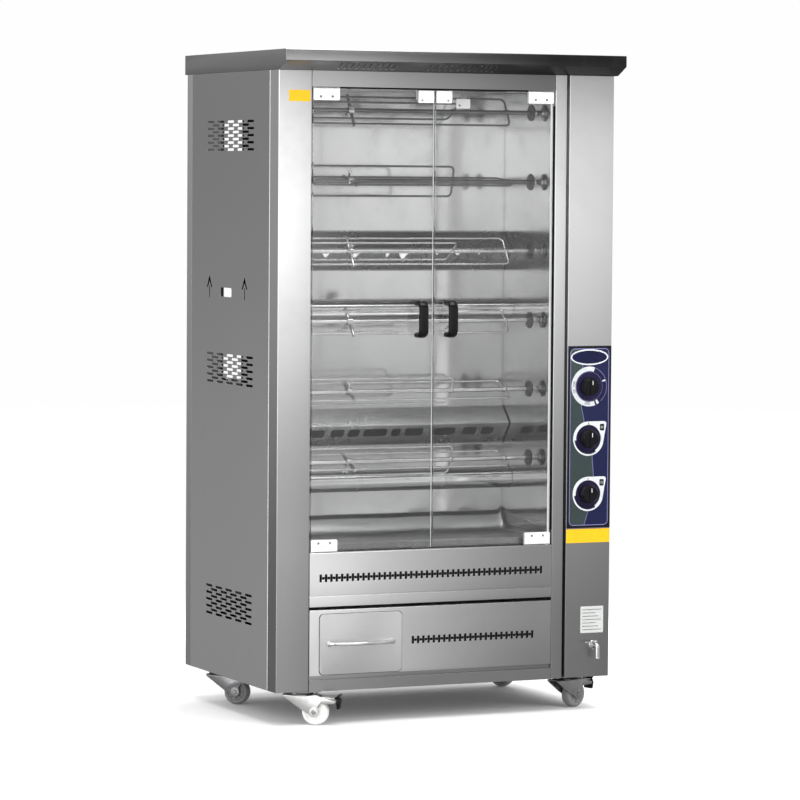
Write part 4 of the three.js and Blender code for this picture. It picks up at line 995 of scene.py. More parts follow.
canopyLook = {
    'lip': 30 * mm, 'slot': (7 * mm, 32 * mm), 'pitch': 17.5 * mm,
    'groups': ((-335 * mm, 10), (-72 * mm, 12)), 'bend': 2 * mm,
    'well': (475 * mm, 25 * mm, 636 * mm), 'board': (-350 * mm, 140 * mm),
}


def canopyHood():
    low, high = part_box('canopy')
    top, rear, foot = high.z, high.y, low.z
    lipFoot = top - canopyLook['lip']
    section = [(low.y, lipFoot), (frontY, foot), (rear, foot), (rear, top), (low.y, top)]
    outer = rounded(section, canopyLook['bend'], 3, True)
    t = sheetThick
    hollow = [(low.y + t, lipFoot + t), (frontY + t, foot + t), (rear - t, foot + t),
              (rear - t, top - t), (low.y + t, top - t)]
    stock = plate(outer, 'x', low.x, high.x, 0.5 * mm, 2, 50)
    tools = bmesh.new()
    slab(tools, hollow, 'x', low.x + t, high.x - t)
    half, near, far = canopyLook['well']
    slab(tools, box2d(centreX - half, centreX + half, frontY + near, frontY + far), 'z', foot - 2 * t, foot + 2 * t)
    wide, long = canopyLook['slot']
    middle = (low.y + frontY) / 2
    for start, count in canopyLook['groups']:
        for i in range(count):
            x = centreX + start + i * canopyLook['pitch']
            outline = box2d(x - wide / 2, x + wide / 2, middle - long / 2, middle + long / 2, wide * 0.48, 3)
            slab(tools, outline, 'z', foot - 5 * mm, lipFoot + 4 * mm)
    parts = [(carved(stock, outward(tools)), steel['canopy'])]
    # a dark board of painted shade lies over the slots
    near, far, thick = low.y + 6 * mm, frontY - 4 * mm, 1.5 * mm
    board = [(near, lipFoot + 5 * mm), (far, foot + 7 * mm), (far, foot + 7 * mm + thick),
             (near, lipFoot + 5 * mm + thick)]
    start, end = canopyLook['board']
    parts.append((plate(board, 'x', centreX + start, centreX + end), darkInside))
    makePiece('canopySheet', parts, 'root', ['canopy'], smooth=30)


canopyHood()


# Vent fascia, lower panel and bottom rail

slotLook = {
    'bar': (7.2 * mm, 21 * mm), 'link': (8.2 * mm, 7 * mm), 'pitch': 15.7 * mm,
    'fascia': (43, 395 * mm), 'lower': (24, 218 * mm), 'lowerStart': -98 * mm,       # count and level
    'fasciaBoard': (380 * mm, 412 * mm), 'lowerBoard': (200 * mm, 236 * mm),
}
fasciaLook = {'groove': 347 * mm, 'grooveHalf': 1.5 * mm, 'flange': 25 * mm, 'pinInset': 9 * mm,
              'pinHole': 4.6 * mm}


def slotTools(tools, first, count, level):
    for i in range(count):
        x = first + i * slotLook['pitch']
        kinds = [(slotLook['bar'], x)]
        if i < count - 1:
            kinds.append((slotLook['link'], x + slotLook['pitch'] / 2))
        for (wide, tall), at in kinds:
            outline = box2d(at - wide / 2, at + wide / 2, level - tall / 2, level + tall / 2, 0.8 * mm, 2)
            slab(tools, outline, 'y', frontY - 3 * mm, frontY + 6 * mm)


def frontSheet(name, node, line, bend, tools):
    low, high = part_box(node)
    stock = plate(foldedOutline(line[::-1], sheetThick, bend, 3), 'x', low.x, high.x)
    makePiece(name, [(carved(stock, outward(tools)), steel['front'])], 'root', [node], 30)


def frontPanels():
    low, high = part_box('vent_fascia')
    groove, half, back = fasciaLook['groove'], fasciaLook['grooveHalf'], low.y + fasciaLook['flange']
    line = [(back, low.z), (low.y, low.z), (low.y, groove - half), (low.y + half, groove - half),
            (low.y + half, groove + half), (low.y, groove + half), (low.y, high.z), (back, high.z)]
    tools = bmesh.new()
    count, fasciaLevel = slotLook['fascia']
    slotTools(tools, (low.x + high.x) / 2 - (count - 1) / 2 * slotLook['pitch'], count, fasciaLevel)
    inset, radius = fasciaLook['pinInset'], fasciaLook['pinHole']
    for x in (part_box('left_door_lower_hinge')[0].x + inset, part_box('right_door_lower_hinge')[1].x - inset):
        slab(tools, circle2d((x, frontY + 9 * mm), radius, 20), 'z', high.z - 4 * mm, high.z + 4 * mm)
    frontSheet('ventFasciaSheet', 'vent_fascia', line, 1.6 * mm, tools)
    low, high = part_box('lower_front_panel')
    line = [(low.y + 20 * mm, low.z), (low.y, low.z), (low.y, high.z), (low.y + 20 * mm, high.z)]
    tools = bmesh.new()
    count, lowerLevel = slotLook['lower']
    slotTools(tools, centreX + slotLook['lowerStart'], count, lowerLevel)
    drawer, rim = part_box('fat_drawer'), 10 * mm
    slab(tools, box2d(drawer[0].x + rim, drawer[1].x - rim, drawer[0].z + rim, drawer[1].z - rim, 3 * mm), 'y',
         frontY - 4 * mm, frontY + 6 * mm)
    frontSheet('lowerPanelSheet', 'lower_front_panel', line, 1.8 * mm, tools)
    # dark boards of painted shade behind both rows of slots, and a filler under the lower panel
    fascia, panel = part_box('vent_fascia'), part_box('lower_front_panel')
    boards = [(fascia[0].x + 6 * mm, fascia[1].x - 6 * mm, *slotLook['fasciaBoard']),
              (drawer[1].x + 8 * mm, panel[1].x - 6 * mm, *slotLook['lowerBoard'])]
    makePiece('slotBackBoards', [
        (plate(box2d(*board, 2 * mm), 'y', frontY + 2 * mm, frontY + 4 * mm, 0.5 * mm), darkInside)
        for board in boards])
    filler = box2d(panel[0].x, panel[1].x, panel[0].z - 12 * mm, panel[0].z + 6 * mm, 1 * mm)
    strip = plate(filler, 'y', frontY + 4 * mm, frontY + 5.4 * mm, 0.4 * mm)
    makePiece('railFiller', [(strip, steel['rail'])], 'root', ())


frontPanels()
print('cabinet shell made')


# Inside of the chamber: foil in the tray, burner tubes and hoods

foilLook = {'rise': 6 * mm, 'crumple': 5 * mm, 'columns': 150, 'rows': 70, 'frontLift': 12 * mm,
            'backLift': 52 * mm}


def trayFoil():
    # Crumpled foil that lines the tray and laps up its back
    low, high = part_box('drip_tray')
    x0, x1, y0, y1, z0 = low.x + 3 * mm, high.x - 3 * mm, low.y + 3 * mm, high.y - 3 * mm, low.z + 2.2 * mm
    front, back = foilLook['frontLift'], foilLook['backLift']
    bm = bmesh.new()
    grid = []
    for j in range(foilLook['rows'] + 1):
        v = j / foilLook['rows']
        row = []
        for i in range(foilLook['columns'] + 1):
            u = i / foilLook['columns']
            x, y = x0 + (x1 - x0) * u, y0 + (y1 - y0) * v
            rim = max(0.0, 1 - v / 0.06) ** 2 * front + max(0.0, (v - 0.9) / 0.1) ** 1.5 * back
            rim += (max(0.0, 1 - u / 0.02) ** 2 + max(0.0, (u - 0.98) / 0.02) ** 2) * front
            fold = noise.noise(Vector((x * 5, y * 14, 0.3)))
            fold += 0.35 * abs(noise.noise(Vector((x * 13, y * 27, 1.7))))
            fold += 0.12 * abs(noise.noise(Vector((x * 40, y * 80, 4.1))))
            z = z0 + foilLook['rise'] * 0.5 + foilLook['crumple'] * 0.5 * max(-0.9, fold) + rim
            row.append(bm.verts.new((x, y, max(z, z0))))
        grid.append(row)
    for a, b in zip(grid, grid[1:]):
        for i in range(len(a) - 1):
            bm.faces.new((a[i], a[i + 1], b[i + 1], b[i]))
    below = bmesh.ops.extrude_face_region(bm, geom=bm.faces[:])['geom']
    bmesh.ops.translate(bm, verts=[g for g in below if isinstance(g, bmesh.types.BMVert)], vec=(0, 0, -0.15 * mm))
    outward(bm)
    # the extrusion leaves its faces in a chance order, so they are put in a steady one
    bm.verts.index_update()
    order = sorted(bm.faces, key=lambda face: [vert.index for vert in face.verts])
    rank = {face: k for k, face in enumerate(order)}
    bm.faces.sort(key=lambda face: rank[face])
    makePiece('trayFoil', [(bm, foil)], 'root', (), 60)


trayFoil()

burnerLook = {
    'radius': 28 * mm, 'wall': 2 * mm, 'portPitch': 16 * mm, 'portRadius': 2.2 * mm, 'bandPitch': 260 * mm,
}
hoodLook = {
    'below': 62 * mm, 'above': 50 * mm, 'thick': 1.2 * mm, 'end': 3 * mm,
    # drop below the ridge and the corner's radius, then each cut-out's middle, width and height; all in mm
    'upper': (4, 1.6, ((-384, 34, 21), (-316, 30, 22), (-206, 44, 19), (-118, 52, 20), (-20, 26, 19),
                       (30, 50, 24), (132, 24, 13), (196, 40, 14), (262, 24, 12))),
    'lower': (11, 7, ((-372, 52, 22), (-300, 60, 22), (-228, 44, 22), (-168, 40, 22), (-118, 34, 22), (-53, 72, 22),
                      (11, 27, 22), (66, 56, 22), (160, 68, 22), (239, 44, 22), (295, 38, 22))),
}


def burnerTube(node):
    low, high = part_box(node)
    y, z = (low.y + high.y) / 2, (low.z + high.z) / 2
    r, wall = burnerLook['radius'], burnerLook['wall']
    profile = [(0, 0), (r - 3 * mm, 0), (r, 3 * mm), (r, high.x - low.x), (r - wall, high.x - low.x),
               (r - wall, wall), (0, wall)]
    parts = [(lathe(profile, (low.x, y, z), (1, 0, 0), 40), tubeSteel)]
    rings = bmesh.new()
    x = low.x + 60 * mm
    while x < high.x - 60 * mm:
        band = [(r - 0.2 * mm, 0), (r + 0.9 * mm, 0.6 * mm), (r + 0.9 * mm, 11 * mm), (r - 0.2 * mm, 11.6 * mm)]
        turned(rings, band, (x, y, z), (1, 0, 0), 40, True)
        x += burnerLook['bandPitch']
    parts.append((outward(rings), tubeSteel))
    ports = bmesh.new()
    port, deep = burnerLook['portRadius'], 0.25 * mm
    for line, angle in enumerate((72, 108)):
        way = Vector((0, math.cos(math.radians(angle)), math.sin(math.radians(angle))))
        x = low.x + 24 * mm
        while x < high.x - 60 * mm:
            middle = Vector((x + line * 8 * mm, y, z)) + way * (r - 0.05 * mm)
            turned(ports, [(0, 0), (port, 0), (port, deep), (0, deep)], middle, way, 8)
            x += burnerLook['portPitch']
    # the ports are discs of painted shadow on the tube
    parts.append((outward(ports), paintedShadow))
    makePiece(node.replace('_', '') + 'Piece', parts, 'root', [node])


def burnerHood(level):
    node, finish = level + '_burner_hood', {'lower': lowHoodSteel, 'upper': burnerSteel}[level]
    drop, bend, bites = hoodLook[level]
    low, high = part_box(node)
    ridge, wall, end = low.y, high.y, high.x - hoodLook['end']
    ridgeZ = low.z + (high.z - low.z) * hoodLook['below'] / (hoodLook['below'] + hoodLook['above'])
    line = [(wall, low.z), (ridge, ridgeZ), (wall, high.z)]
    section = foldedOutline(line[::-1], hoodLook['thick'], 2 * mm, 4)
    stock = plate(section, 'x', low.x, end)
    tools = bmesh.new()
    for middle, wide, tall in bites:
        x, half, top = centreX + middle * mm, wide * mm / 2, ridgeZ - drop * mm
        foot = top - tall * mm
        if level == 'upper':       # ragged points that hang down
            corners = [(x - half, top), (x - half * 0.15, foot), (x + half * 0.1, foot),
                       (x + half * 0.35, foot + tall * 0.45 * mm), (x + half, top)]
        else:                      # a long row of arches
            corners = [(x - half, top), (x - half, foot), (x + half, foot), (x + half, top)]
        slab(tools, rounded(corners, bend * mm, 4, True), 'y', ridge - 5 * mm, wall + 5 * mm)
    # the hood's last few millimetres are painted shadow
    parts = [(carved(stock, outward(tools)), finish), (plate(section, 'x', end, high.x), paintedShadow)]
    # the block of ceramic that shows behind the cut-outs: it glows as painted light above and is black as painted
    # shade below
    along = Vector((wall - ridge, low.z - ridgeZ)).normalized()
    inward = Vector((-along.y, along.x))
    top = Vector((ridge, ridgeZ))
    block = [top + along * t * mm + inward * d * mm for t, d in ((3, 1.6), (50, 1.6), (50, 4), (3, 4))]
    stone = {'lower': shadowCeramic, 'upper': ceramic}[level]
    parts.append((plate(block, 'x', low.x + 6 * mm, end - 4 * mm, 0.5 * mm), stone))
    # a hemmed strip along each long edge
    for edgeZ, lean in ((low.z, 1), (high.z, -1)):
        strip = box2d(wall - 5 * mm, wall, *sorted((edgeZ, edgeZ + lean * 3 * mm)), 1.2 * mm, 3)
        parts.append((plate(strip, 'x', low.x, high.x), finish))
    makePiece(node.replace('_', '') + 'Piece', parts, 'root', [node], 30)


for level in ('lower', 'upper'):
    burnerTube(level + '_burner_tube')
    burnerHood(level)
print('burners made')


# Doors: panes with ground edges, pivot plates, catch plates and bow handles

doorLook = {'edge': 1.6 * mm, 'plateCorner': 4 * mm, 'plateThick': 2.5 * mm, 'gap': 2.8 * mm, 'screw': 3.4 * mm,
            'pinInset': 9 * mm}
handleLook = {'inset': 6.7 * mm, 'half': 13.6 * mm, 'thick': 7.6 * mm, 'bend': 16 * mm}
catchLook = {'wide': 46 * mm, 'height': 33 * mm, 'top': 1702 * mm, 'thick': 2.6 * mm}


def doorPane(hand):
    low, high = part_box(hand + '_door_glass')
    outline = box2d(low.x, high.x, low.z, high.z, 3 * mm, 4)
    pane = plate(outline, 'y', low.y, high.y, doorLook['edge'], 1)
    piece = makePiece(hand + 'DoorPane', [(pane, doorGlass)], hand + '_door', [hand + '_door_glass'],
                      20)
    # the edge towards +x is ground, the one towards -x has a rubber strip
    for finish in (glassEdge, rubber):
        piece.data.materials.append(finish)
    for face in piece.data.polygons:
        if face.normal.x > 0.4 or face.normal.x < -0.9:
            face.material_index = 1 if face.normal.x > 0 else 2


def hingePlates(hand, level):
    node = hand + '_door_' + level + '_hinge'
    low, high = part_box(node)
    up = level == 'upper'
    pinX = low.x + doorLook['pinInset'] if hand == 'left' else high.x - doorLook['pinInset']
    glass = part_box(hand + '_door_glass')
    rim, foot = (glass[1].z + doorLook['gap'], low.z) if up else (glass[0].z - doorLook['gap'], high.z)
    z0, z1 = min(rim, foot), max(rim, foot)
    outline = box2d(low.x, high.x, z0, z1, doorLook['plateCorner'], 5)
    front, back = low.y, high.y
    parts = []
    thick = doorLook['plateThick']
    for y0, y1 in ((front, front + thick), (back - thick, back)):
        parts.append((plate(outline, 'y', y0, y1, 0.6 * mm), hingeZinc))
    bridge = box2d(low.x, high.x, front, back, 1 * mm, 2)
    edge = (rim - thick, rim) if up else (rim, rim + thick)
    parts.append((plate(bridge, 'z', *edge, 0.4 * mm), hingeZinc))
    tip = high.z if up else low.z
    length = abs(tip - rim)
    pin = inMm((0, 0), (6.5, 0), (6.5, 1.6), (4, 2)) + [
        (4 * mm, length - 0.8 * mm), (3.2 * mm, length), (0, length)]
    parts.append((lathe(pin, (pinX, (front + back) / 2, rim), (0, 0, 1 if up else -1), 24), chrome))
    middle, z = (low.x + high.x) / 2, (z0 + z1) / 2 + (-7 * mm if up else 8 * mm)
    heads = [((x, y, z), (0, way, 0)) for x in (middle - 17 * mm, middle + 17 * mm)
             for y, way in ((front, -1), (back, 1))]
    parts.append((screwSet(heads, doorLook['screw'], 1.2 * mm), hingeScrew))
    makePiece(hand + 'Door' + level.capitalize() + 'Hinge', parts, hand + '_door', [node])


def catchPlates(hand):
    # A keeper plate on the glass for the magnet behind the header
    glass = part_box(hand + '_door_glass')
    meeting = glass[1].x if hand == 'left' else glass[0].x
    side = -1 if hand == 'left' else 1
    x0, x1 = sorted((meeting + side * 2 * mm, meeting + side * 2 * mm + side * catchLook['wide']))
    outline = box2d(x0, x1, catchLook['top'] - catchLook['height'], catchLook['top'], 2.5 * mm, 4)
    front, thick, near = glass[0].y, catchLook['thick'], 0.1 * mm
    parts = [(plate(outline, 'y', y0, y1, 0.5 * mm), hingeZinc)
             for y0, y1 in ((front - thick, front - near), (glass[1].y + near, glass[1].y + thick))]
    head = ((x0 + x1) / 2 + side * 12 * mm, front - thick, catchLook['top'] - 26 * mm)
    parts.append((screwSet([(head, (0, -1, 0))], 3 * mm, 1 * mm), hingeScrew))
    makePiece(hand + 'DoorCatch', parts, hand + '_door', ())


bracketLook = {
    'gap': 4.2 * mm, 'flange': 20 * mm, 'drop': 30 * mm, 'thick': 1.5 * mm, 'span': (-52 * mm, 56 * mm),
    'terminal': (74 * mm, 116 * mm), 'stem': (90 * mm, 106 * mm),
}


def magnetBracket():
    # An angle under the header, behind the catch plates
    look = bracketLook
    middle = (doorLow.x + doorHigh.x) / 2
    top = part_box('chamber_roof')[0].z
    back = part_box('left_door_glass')[1].y
    y0 = back + look['gap']
    line = [(y0 + look['flange'], top - 0.5 * mm), (y0, top - 0.5 * mm), (y0, top - look['drop'])]
    section = foldedOutline(line, look['thick'], 1.5 * mm, 3)
    start, end = look['span']
    parts = [(plate(section, 'x', middle + start, middle + end, 0.3 * mm), hingeZinc)]
    # the lamp's terminal beside it
    start, end = look['terminal']
    block = box2d(middle + start, middle + end, top - 52 * mm, top - 26 * mm, 3 * mm, 3)
    parts.append((plate(block, 'y', y0 + 14 * mm, y0 + 17 * mm, 0.5 * mm), hingeZinc))
    head = (middle + 84 * mm, y0 + 14 * mm, top - 44 * mm)
    parts.append((screwSet([(head, (0, -1, 0))], 3.4 * mm, 1.2 * mm), hingeScrew))
    start, end = look['stem']
    stem = box2d(middle + start, middle + end, top - 28 * mm, top - 0.6 * mm, 1 * mm, 2)
    parts.append((plate(stem, 'y', y0 + 15.5 * mm, y0 + 17 * mm), hingeScrew))
    makePiece('doorMagnetBracket', parts, 'root', ())


def bowHandle(hand):
    node = hand + '_door_handle'
    low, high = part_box(node)
    x, y0, y1 = (low.x + high.x) / 2, low.y, high.y
    inset, half = handleLook['inset'], handleLook['half']
    near, far, foot, head = y0 + inset, y1 - 1 * mm, low.z + inset, high.z - inset
    path = rounded([(x, far, head), (x, near, head), (x, near, foot), (x, far, foot)], handleLook['bend'], 10)
    count = len(path)
    body = bmesh.new()
    # an oval section, broad across the grip
    rings = []
    for i, p in enumerate(path):
        ahead, behind = path[min(i + 1, count - 1)], path[max(i - 1, 0)]
        tangent = (ahead - behind).normalized()
        normal = tangent.cross(Vector((1, 0, 0)))
        rings.append([body.verts.new(p + Vector((1, 0, 0)) * half * swell(math.cos(t), 0.7)
                                     + normal * handleLook['thick'] * swell(math.sin(t), 0.8))
                      for t in fullTurn(24)])
    skin(body, rings)
    parts = [(outward(body), blackPlastic)]
    for z in (head - 0.4 * mm, foot + 0.4 * mm):
        base = inMm((0, 0), (6.2, 0), (6.8, 0.8), (6.6, 3), (0, 3))
        parts.append((lathe(base, (x, y1, z), (0, -1, 0), 28), blackPlastic))
        # washer and screw inside the glass
        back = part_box(hand + '_door_glass')[1].y
        parts.append((lathe(inMm((0, 0), (6, 0), (6, 1), (0, 1)), (x, back + 0.1 * mm, z), (0, 1, 0), 24), chrome))
        parts.append((screwSet([((x, back + 1.1 * mm, z), (0, 1, 0))], 4 * mm, 2.4 * mm), chrome))
    makePiece(hand + 'DoorBowHandle', parts, hand + '_door', [node])


def doorSeals():
    # Rubber above the doors and at the right post, black seals that also stand in as painted shadow lines in the
    # gaps
    glass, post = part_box('right_door_glass'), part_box('right_front_post')[0]
    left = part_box('left_door_glass')[0]
    top = box2d(frontY + 1.4 * mm, left.y + 2.4 * mm, glass[1].z + 0.5 * mm, glass[1].z + 4.9 * mm, 1 * mm, 3)
    side = box2d(post.x - 1.3 * mm, post.x - 0.1 * mm, left.y - 3 * mm, left.y + 16 * mm, 0.5 * mm, 3)
    start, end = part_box('left_door_upper_hinge')[1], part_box('right_door_upper_hinge')[0]
    parts = [(plate(top, 'x', start.x + 1 * mm, end.x - 1 * mm), rubber),
             (plate(side, 'z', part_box('right_door_lower_hinge')[1].z + 6 * mm, end.z - 6 * mm), rubber)]
    makePiece('doorSealRubber', parts, 'root', ())


doorSeals()
for hand in ('left', 'right'):
    doorPane(hand)
    for level in ('upper', 'lower'):
        hingePlates(hand, level)
    catchPlates(hand)
    bowHandle(hand)
magnetBracket()
print('doors made')


# Spits: a shaft with a drive disc, two welded forks and a sprocket, and a clamp that slides on them

spitLook = {
    'shaft': 6 * mm, 'tine': 2.8 * mm, 'spread': 42 * mm, 'bend': 13 * mm, 'point': 16 * mm,
    'longEnd': 261 * mm, 'shortEnd': 96 * mm, 'tips': -411 * mm,
    'disc': (334 * mm, 339.6 * mm, 23 * mm), 'hub': 10 * mm,
    'sprocket': (366.5 * mm, 373.5 * mm, 24.8 * mm), 'teeth': 14,
    'setScrew': inMm((0, 0), (3, 0), (3, 1.6), (1.6, 1.6), (1.5, 0.48), (0, 0.48)),
    'weld': inMm((0, -6), (1.4, -5), (2, -2), (2.1, 2), (1.3, 5), (0, 6)), 'collar': -437 * mm,
    'turns': (115, 301, 140, 326, 284, 150),                 # degrees, from the bottom spit up
}
clampLook = {'x': -212 * mm, 'hub': 11 * mm, 'half': 8 * mm, 'bar': (5 * mm, 10 * mm, 50 * mm), 'screwX': -216 * mm,
             'thread': 20 * mm, 'threadTurns': 14}


def spitPlace(number):
    low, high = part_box('spit_%d' % number)
    turn = Matrix.Rotation(math.radians(spitLook['turns'][number - 1]), 4, 'X')
    return Matrix.Translation((centreX, (low.y + high.y) / 2, (low.z + high.z) / 2)) @ turn


def forkWire(bm, end, upright):
    look = spitLook
    tip, spread, point = look['tips'], look['spread'], look['point']
    plan = rounded([(tip, spread), (tip + point, spread), (end, spread),
                    (end, -spread), (tip + point, -spread), (tip, -spread)], look['bend'], 7)
    path = [Vector((p.x, 0, p.y)) if upright else Vector((p.x, p.y, 0)) for p in plan]
    radii = [look['tine'] * min(1.0, 0.22 + 0.78 * (p.x - tip) / point) for p in path]
    tube(bm, path, radii, 14, up=(0, 1, 0) if upright else (0, 0, 1))


# spits 5 and 6 are darker
def rodFinish(number):
    return darkerSpitRod if number > 4 else spitSteel


def makeSpit(number):
    name, rod = 'spit_%d' % number, rodFinish(number)
    low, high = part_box(name)
    place, look = spitPlace(number), spitLook
    r = look['shaft']
    length = high.x - low.x
    shaft = [(0, 0), (r * 0.45, 0), (r * 0.8, 2 * mm), (r, 7 * mm), (r, length - 1 * mm), (r - 1 * mm, length),
             (0, length)]
    parts = [(lathe(shaft, (low.x - centreX, 0, 0), (1, 0, 0), 28, place=place), rod)]
    for end, upright in ((look['longEnd'], True), (look['shortEnd'], False)):
        parts.append((shape(lambda bm: forkWire(bm, end, upright), place=place), rod))
        weld = [(r + a, b) for a, b in look['weld']]
        parts.append((lathe(weld, (end, 0, 0), (1, 0, 0), 24, True, place), rod))
    d0, d1, rim = look['disc']
    hub = look['hub']
    thick = d1 - d0
    disc = [(r, 0), (rim - 1.5 * mm, 0), (rim, 1.2 * mm),
            (rim, thick - 1.2 * mm), (rim - 1.5 * mm, thick), (r, thick)]
    boss = [(r, 4.8 * mm), (rim - 3 * mm, 4.8 * mm), (rim - 4 * mm, 6.5 * mm), (hub + 2 * mm, 10 * mm),
            (hub, 12 * mm), (hub, 15 * mm), (hub - 1 * mm, 16 * mm), (r, 16 * mm)]
    for profile, finish in ((disc, discSteel), (boss, chrome)):
        parts.append((lathe(profile, (d0, 0, 0), (1, 0, 0), 40, True, place), finish))
    parts.append((lathe(look['setScrew'], (d0 + 13 * mm, 0, hub - 0.6 * mm), (0, 0, 1), 6, place=place), rod))
    collar = [(r, 0), (8.6 * mm, 0), (9 * mm, 0.6 * mm), (9 * mm, 6 * mm), (8.6 * mm, 6.6 * mm), (r, 6.6 * mm)]
    parts.append((lathe(collar, (look['collar'], 0, 0), (1, 0, 0), 28, True, place), chrome))
    # toothed wheel for the chain
    s0, s1, tip = look['sprocket']
    outline = []
    for k in range(look['teeth']):
        for part, depth in ((0.0, 4.6), (0.26, 4.2), (0.42, 0), (0.58, 0), (0.74, 4.2)):
            radius = tip - depth * mm
            t = 2 * math.pi * (k + part) / look['teeth']
            outline.append(Vector((radius * math.cos(t), radius * math.sin(t))))
    parts.append((plate(outline, 'x', s0 + 1 * mm, s1 - 1 * mm, 0.4 * mm, 1, place=place), rod))
    guard = [(r, 0), (15 * mm, 0), (15 * mm, 1 * mm), (13 * mm, s1 - s0), (r, s1 - s0)]
    parts.append((lathe(guard, (s0, 0, 0), (1, 0, 0), 28, True, place), rod))
    makePiece('spitRod%d' % number, parts, 'spit_body_%d' % number, [name])


def makeClamp(number):
    place, look, rod = spitPlace(number), clampLook, rodFinish(number)
    x, hub, half = look['x'], look['hub'], look['half']
    thick, wide, reach = look['bar']
    bore = spitLook['shaft'] + 0.5 * mm
    chamfer = 0.8 * mm
    ring = [(bore, -half), (hub - chamfer, -half), (hub, -half + chamfer),
            (hub, half - chamfer), (hub - chamfer, half), (bore, half)]
    parts = [(lathe(ring, (x, 0, 0), (1, 0, 0), 32, True, place), chrome)]
    for side in (-1, 1):
        z0, z1 = sorted((side * 9.5 * mm, side * reach))
        arm = box2d(-wide / 2, wide / 2, z0, z1, 4 * mm, 6)
        parts.append((plate(arm, 'x', x - thick / 2, x + thick / 2, 0.6 * mm, place=place), rod))
    along = look['screwX']
    thread, turns = [(0, 0)], look['threadTurns']
    for i in range(turns):
        y = look['thread'] * i / turns
        thread += [(2.5 * mm, y), (3 * mm, y + look['thread'] / 2 / turns)]
    thread += [(2.5 * mm, look['thread']), (0, look['thread'])]
    parts.append((lathe(thread, (along, -bore, 0), (0, -1, 0), 18, place=place), rod))
    boss = inMm((0, 0), (4.6, 0), (4.6, 1.4), (3.6, 6.4), (2.6, 7), (0, 7))
    parts.append((lathe(boss, (along, -23.5 * mm, 0), (0, -1, 0), 24, place=place), chrome))
    # one half of the thumb wing, then its mirror image
    wing = inMm((3, -24.5), (7.4, -28), (8.2, -33), (7.2, -36), (5, -35.4), (2.6, -30.4))
    wing = [(along + a, b) for a, b in wing] + [(along - a, b) for a, b in wing[::-1]]
    outline = rounded(wing, 1.6 * mm, 3, True)
    parts.append((plate(outline, 'z', -1.5 * mm, 1.5 * mm, 0.6 * mm, place=place), chrome))
    makePiece('spitClampBar%d' % number, parts, 'clamp_body_%d' % number, ['spit_clamp_%d' % number])


for number in range(1, 7):
    makeSpit(number)
    makeClamp(number)
print('spits made')


# Control column: printed overlay, knobs, blank labels and the drain tap

filmLook = {
    'frame': (0.003, 0.0035, 0.009), 'navy': (0.006, 0.009, 0.05), 'green': (0.036, 0.054, 0.054),
    'border': (0.2, 0.2, 0.4), 'white': (0.8, 0.83, 0.86), 'purple': (0.012, 0.008, 0.05),
    'yellow': (0.84, 0.44, 0.003), 'pale': (0.5, 0.51, 0.5), 'rule': (0.16, 0.16, 0.16),
}
film = {key: moulded('film' + key.capitalize(), color, rough=0.3, worn=[min(1, 1.3 * c + 0.01) for c in color],
                     dustAndShade=(0.05, 0.05, 0.05), gloss=0.3) for key, color in filmLook.items()}
overlayLook = {
    'inset': 7 * mm, 'corner': 13 * mm, 'line': 1.8 * mm, 'layer': 0.07 * mm,
    'centre': 66 * mm, 'ringLevel': 391 * mm, 'dropLevels': (247 * mm, 94 * mm),
    'dropRadius': 47.5 * mm, 'dropCorner': (56.5 * mm, 47.5 * mm), 'dropBend': 7 * mm,
    'oval': (66 * mm, 472 * mm, 58 * mm, 22 * mm, 4 * mm),      # place, half width, half height and line
    # rings of the dial: radii in mm, angles, steps, ink and layer
    'dial': ((52.6, 54.4, -48, 70, 60, 'border', 6), (42.5, 55, 72, 290, 60, 'white', 6),
             (42.5, 55, 296, 304, 6, 'white', 6), (43, 54.6, 17, 22, 6, 'white', 6),
             (40, 41, 0, 359.9, 60, 'border', 7)),
    'figures': (('50', 196), ('100', 172), ('200', 262)), 'figureSize': 11 * mm, 'figureRadius': 47 * mm,
    'divider': inMm((44, 490), (45, 448), (41, 340), (52, 292), (76, 205), (82, 138), (66, 48), (54, 12)),
}


def ringStrip(centre, inner, outer, start, end, steps):
    return arc2d(centre, outer, start, end, steps) + arc2d(centre, inner, end, start, steps)


def lettering(words, size, centre, level, turn=0.0):
    # Plain numerals laid flat on the overlay; centre is (x, z)
    data = bpy.data.curves.new('numeral', 'FONT')
    data.body, data.size, data.align_x, data.align_y, data.extrude = words, size, 'CENTER', 'CENTER', 0.02 * mm
    item = bpy.data.objects.new('numeral', data)
    bpy.context.scene.collection.objects.link(item)
    mesh = bpy.data.meshes.new_from_object(item.evaluated_get(bpy.context.evaluated_depsgraph_get()))
    bm = bmesh.new()
    bm.from_mesh(mesh)
    lie = Matrix.Rotation(math.radians(turn), 4, (0, -1, 0)) @ Matrix.Rotation(math.radians(90), 4, 'X')
    bm.transform(Matrix.Translation((centre[0], level, centre[1])) @ lie)
    bpy.data.objects.remove(item)
    bpy.data.curves.remove(data)
    bpy.data.meshes.remove(mesh)
    return bm


def teardrop(centre, radius, corner, bend):
    # A circle drawn out to a rounded corner at its upper right
    x, z = centre
    circle = arc2d(centre, radius, 92, 340, 60)
    return circle + arcCorner(circle[-1], Vector((x + corner[0], z + corner[1])), circle[0], bend, 8)


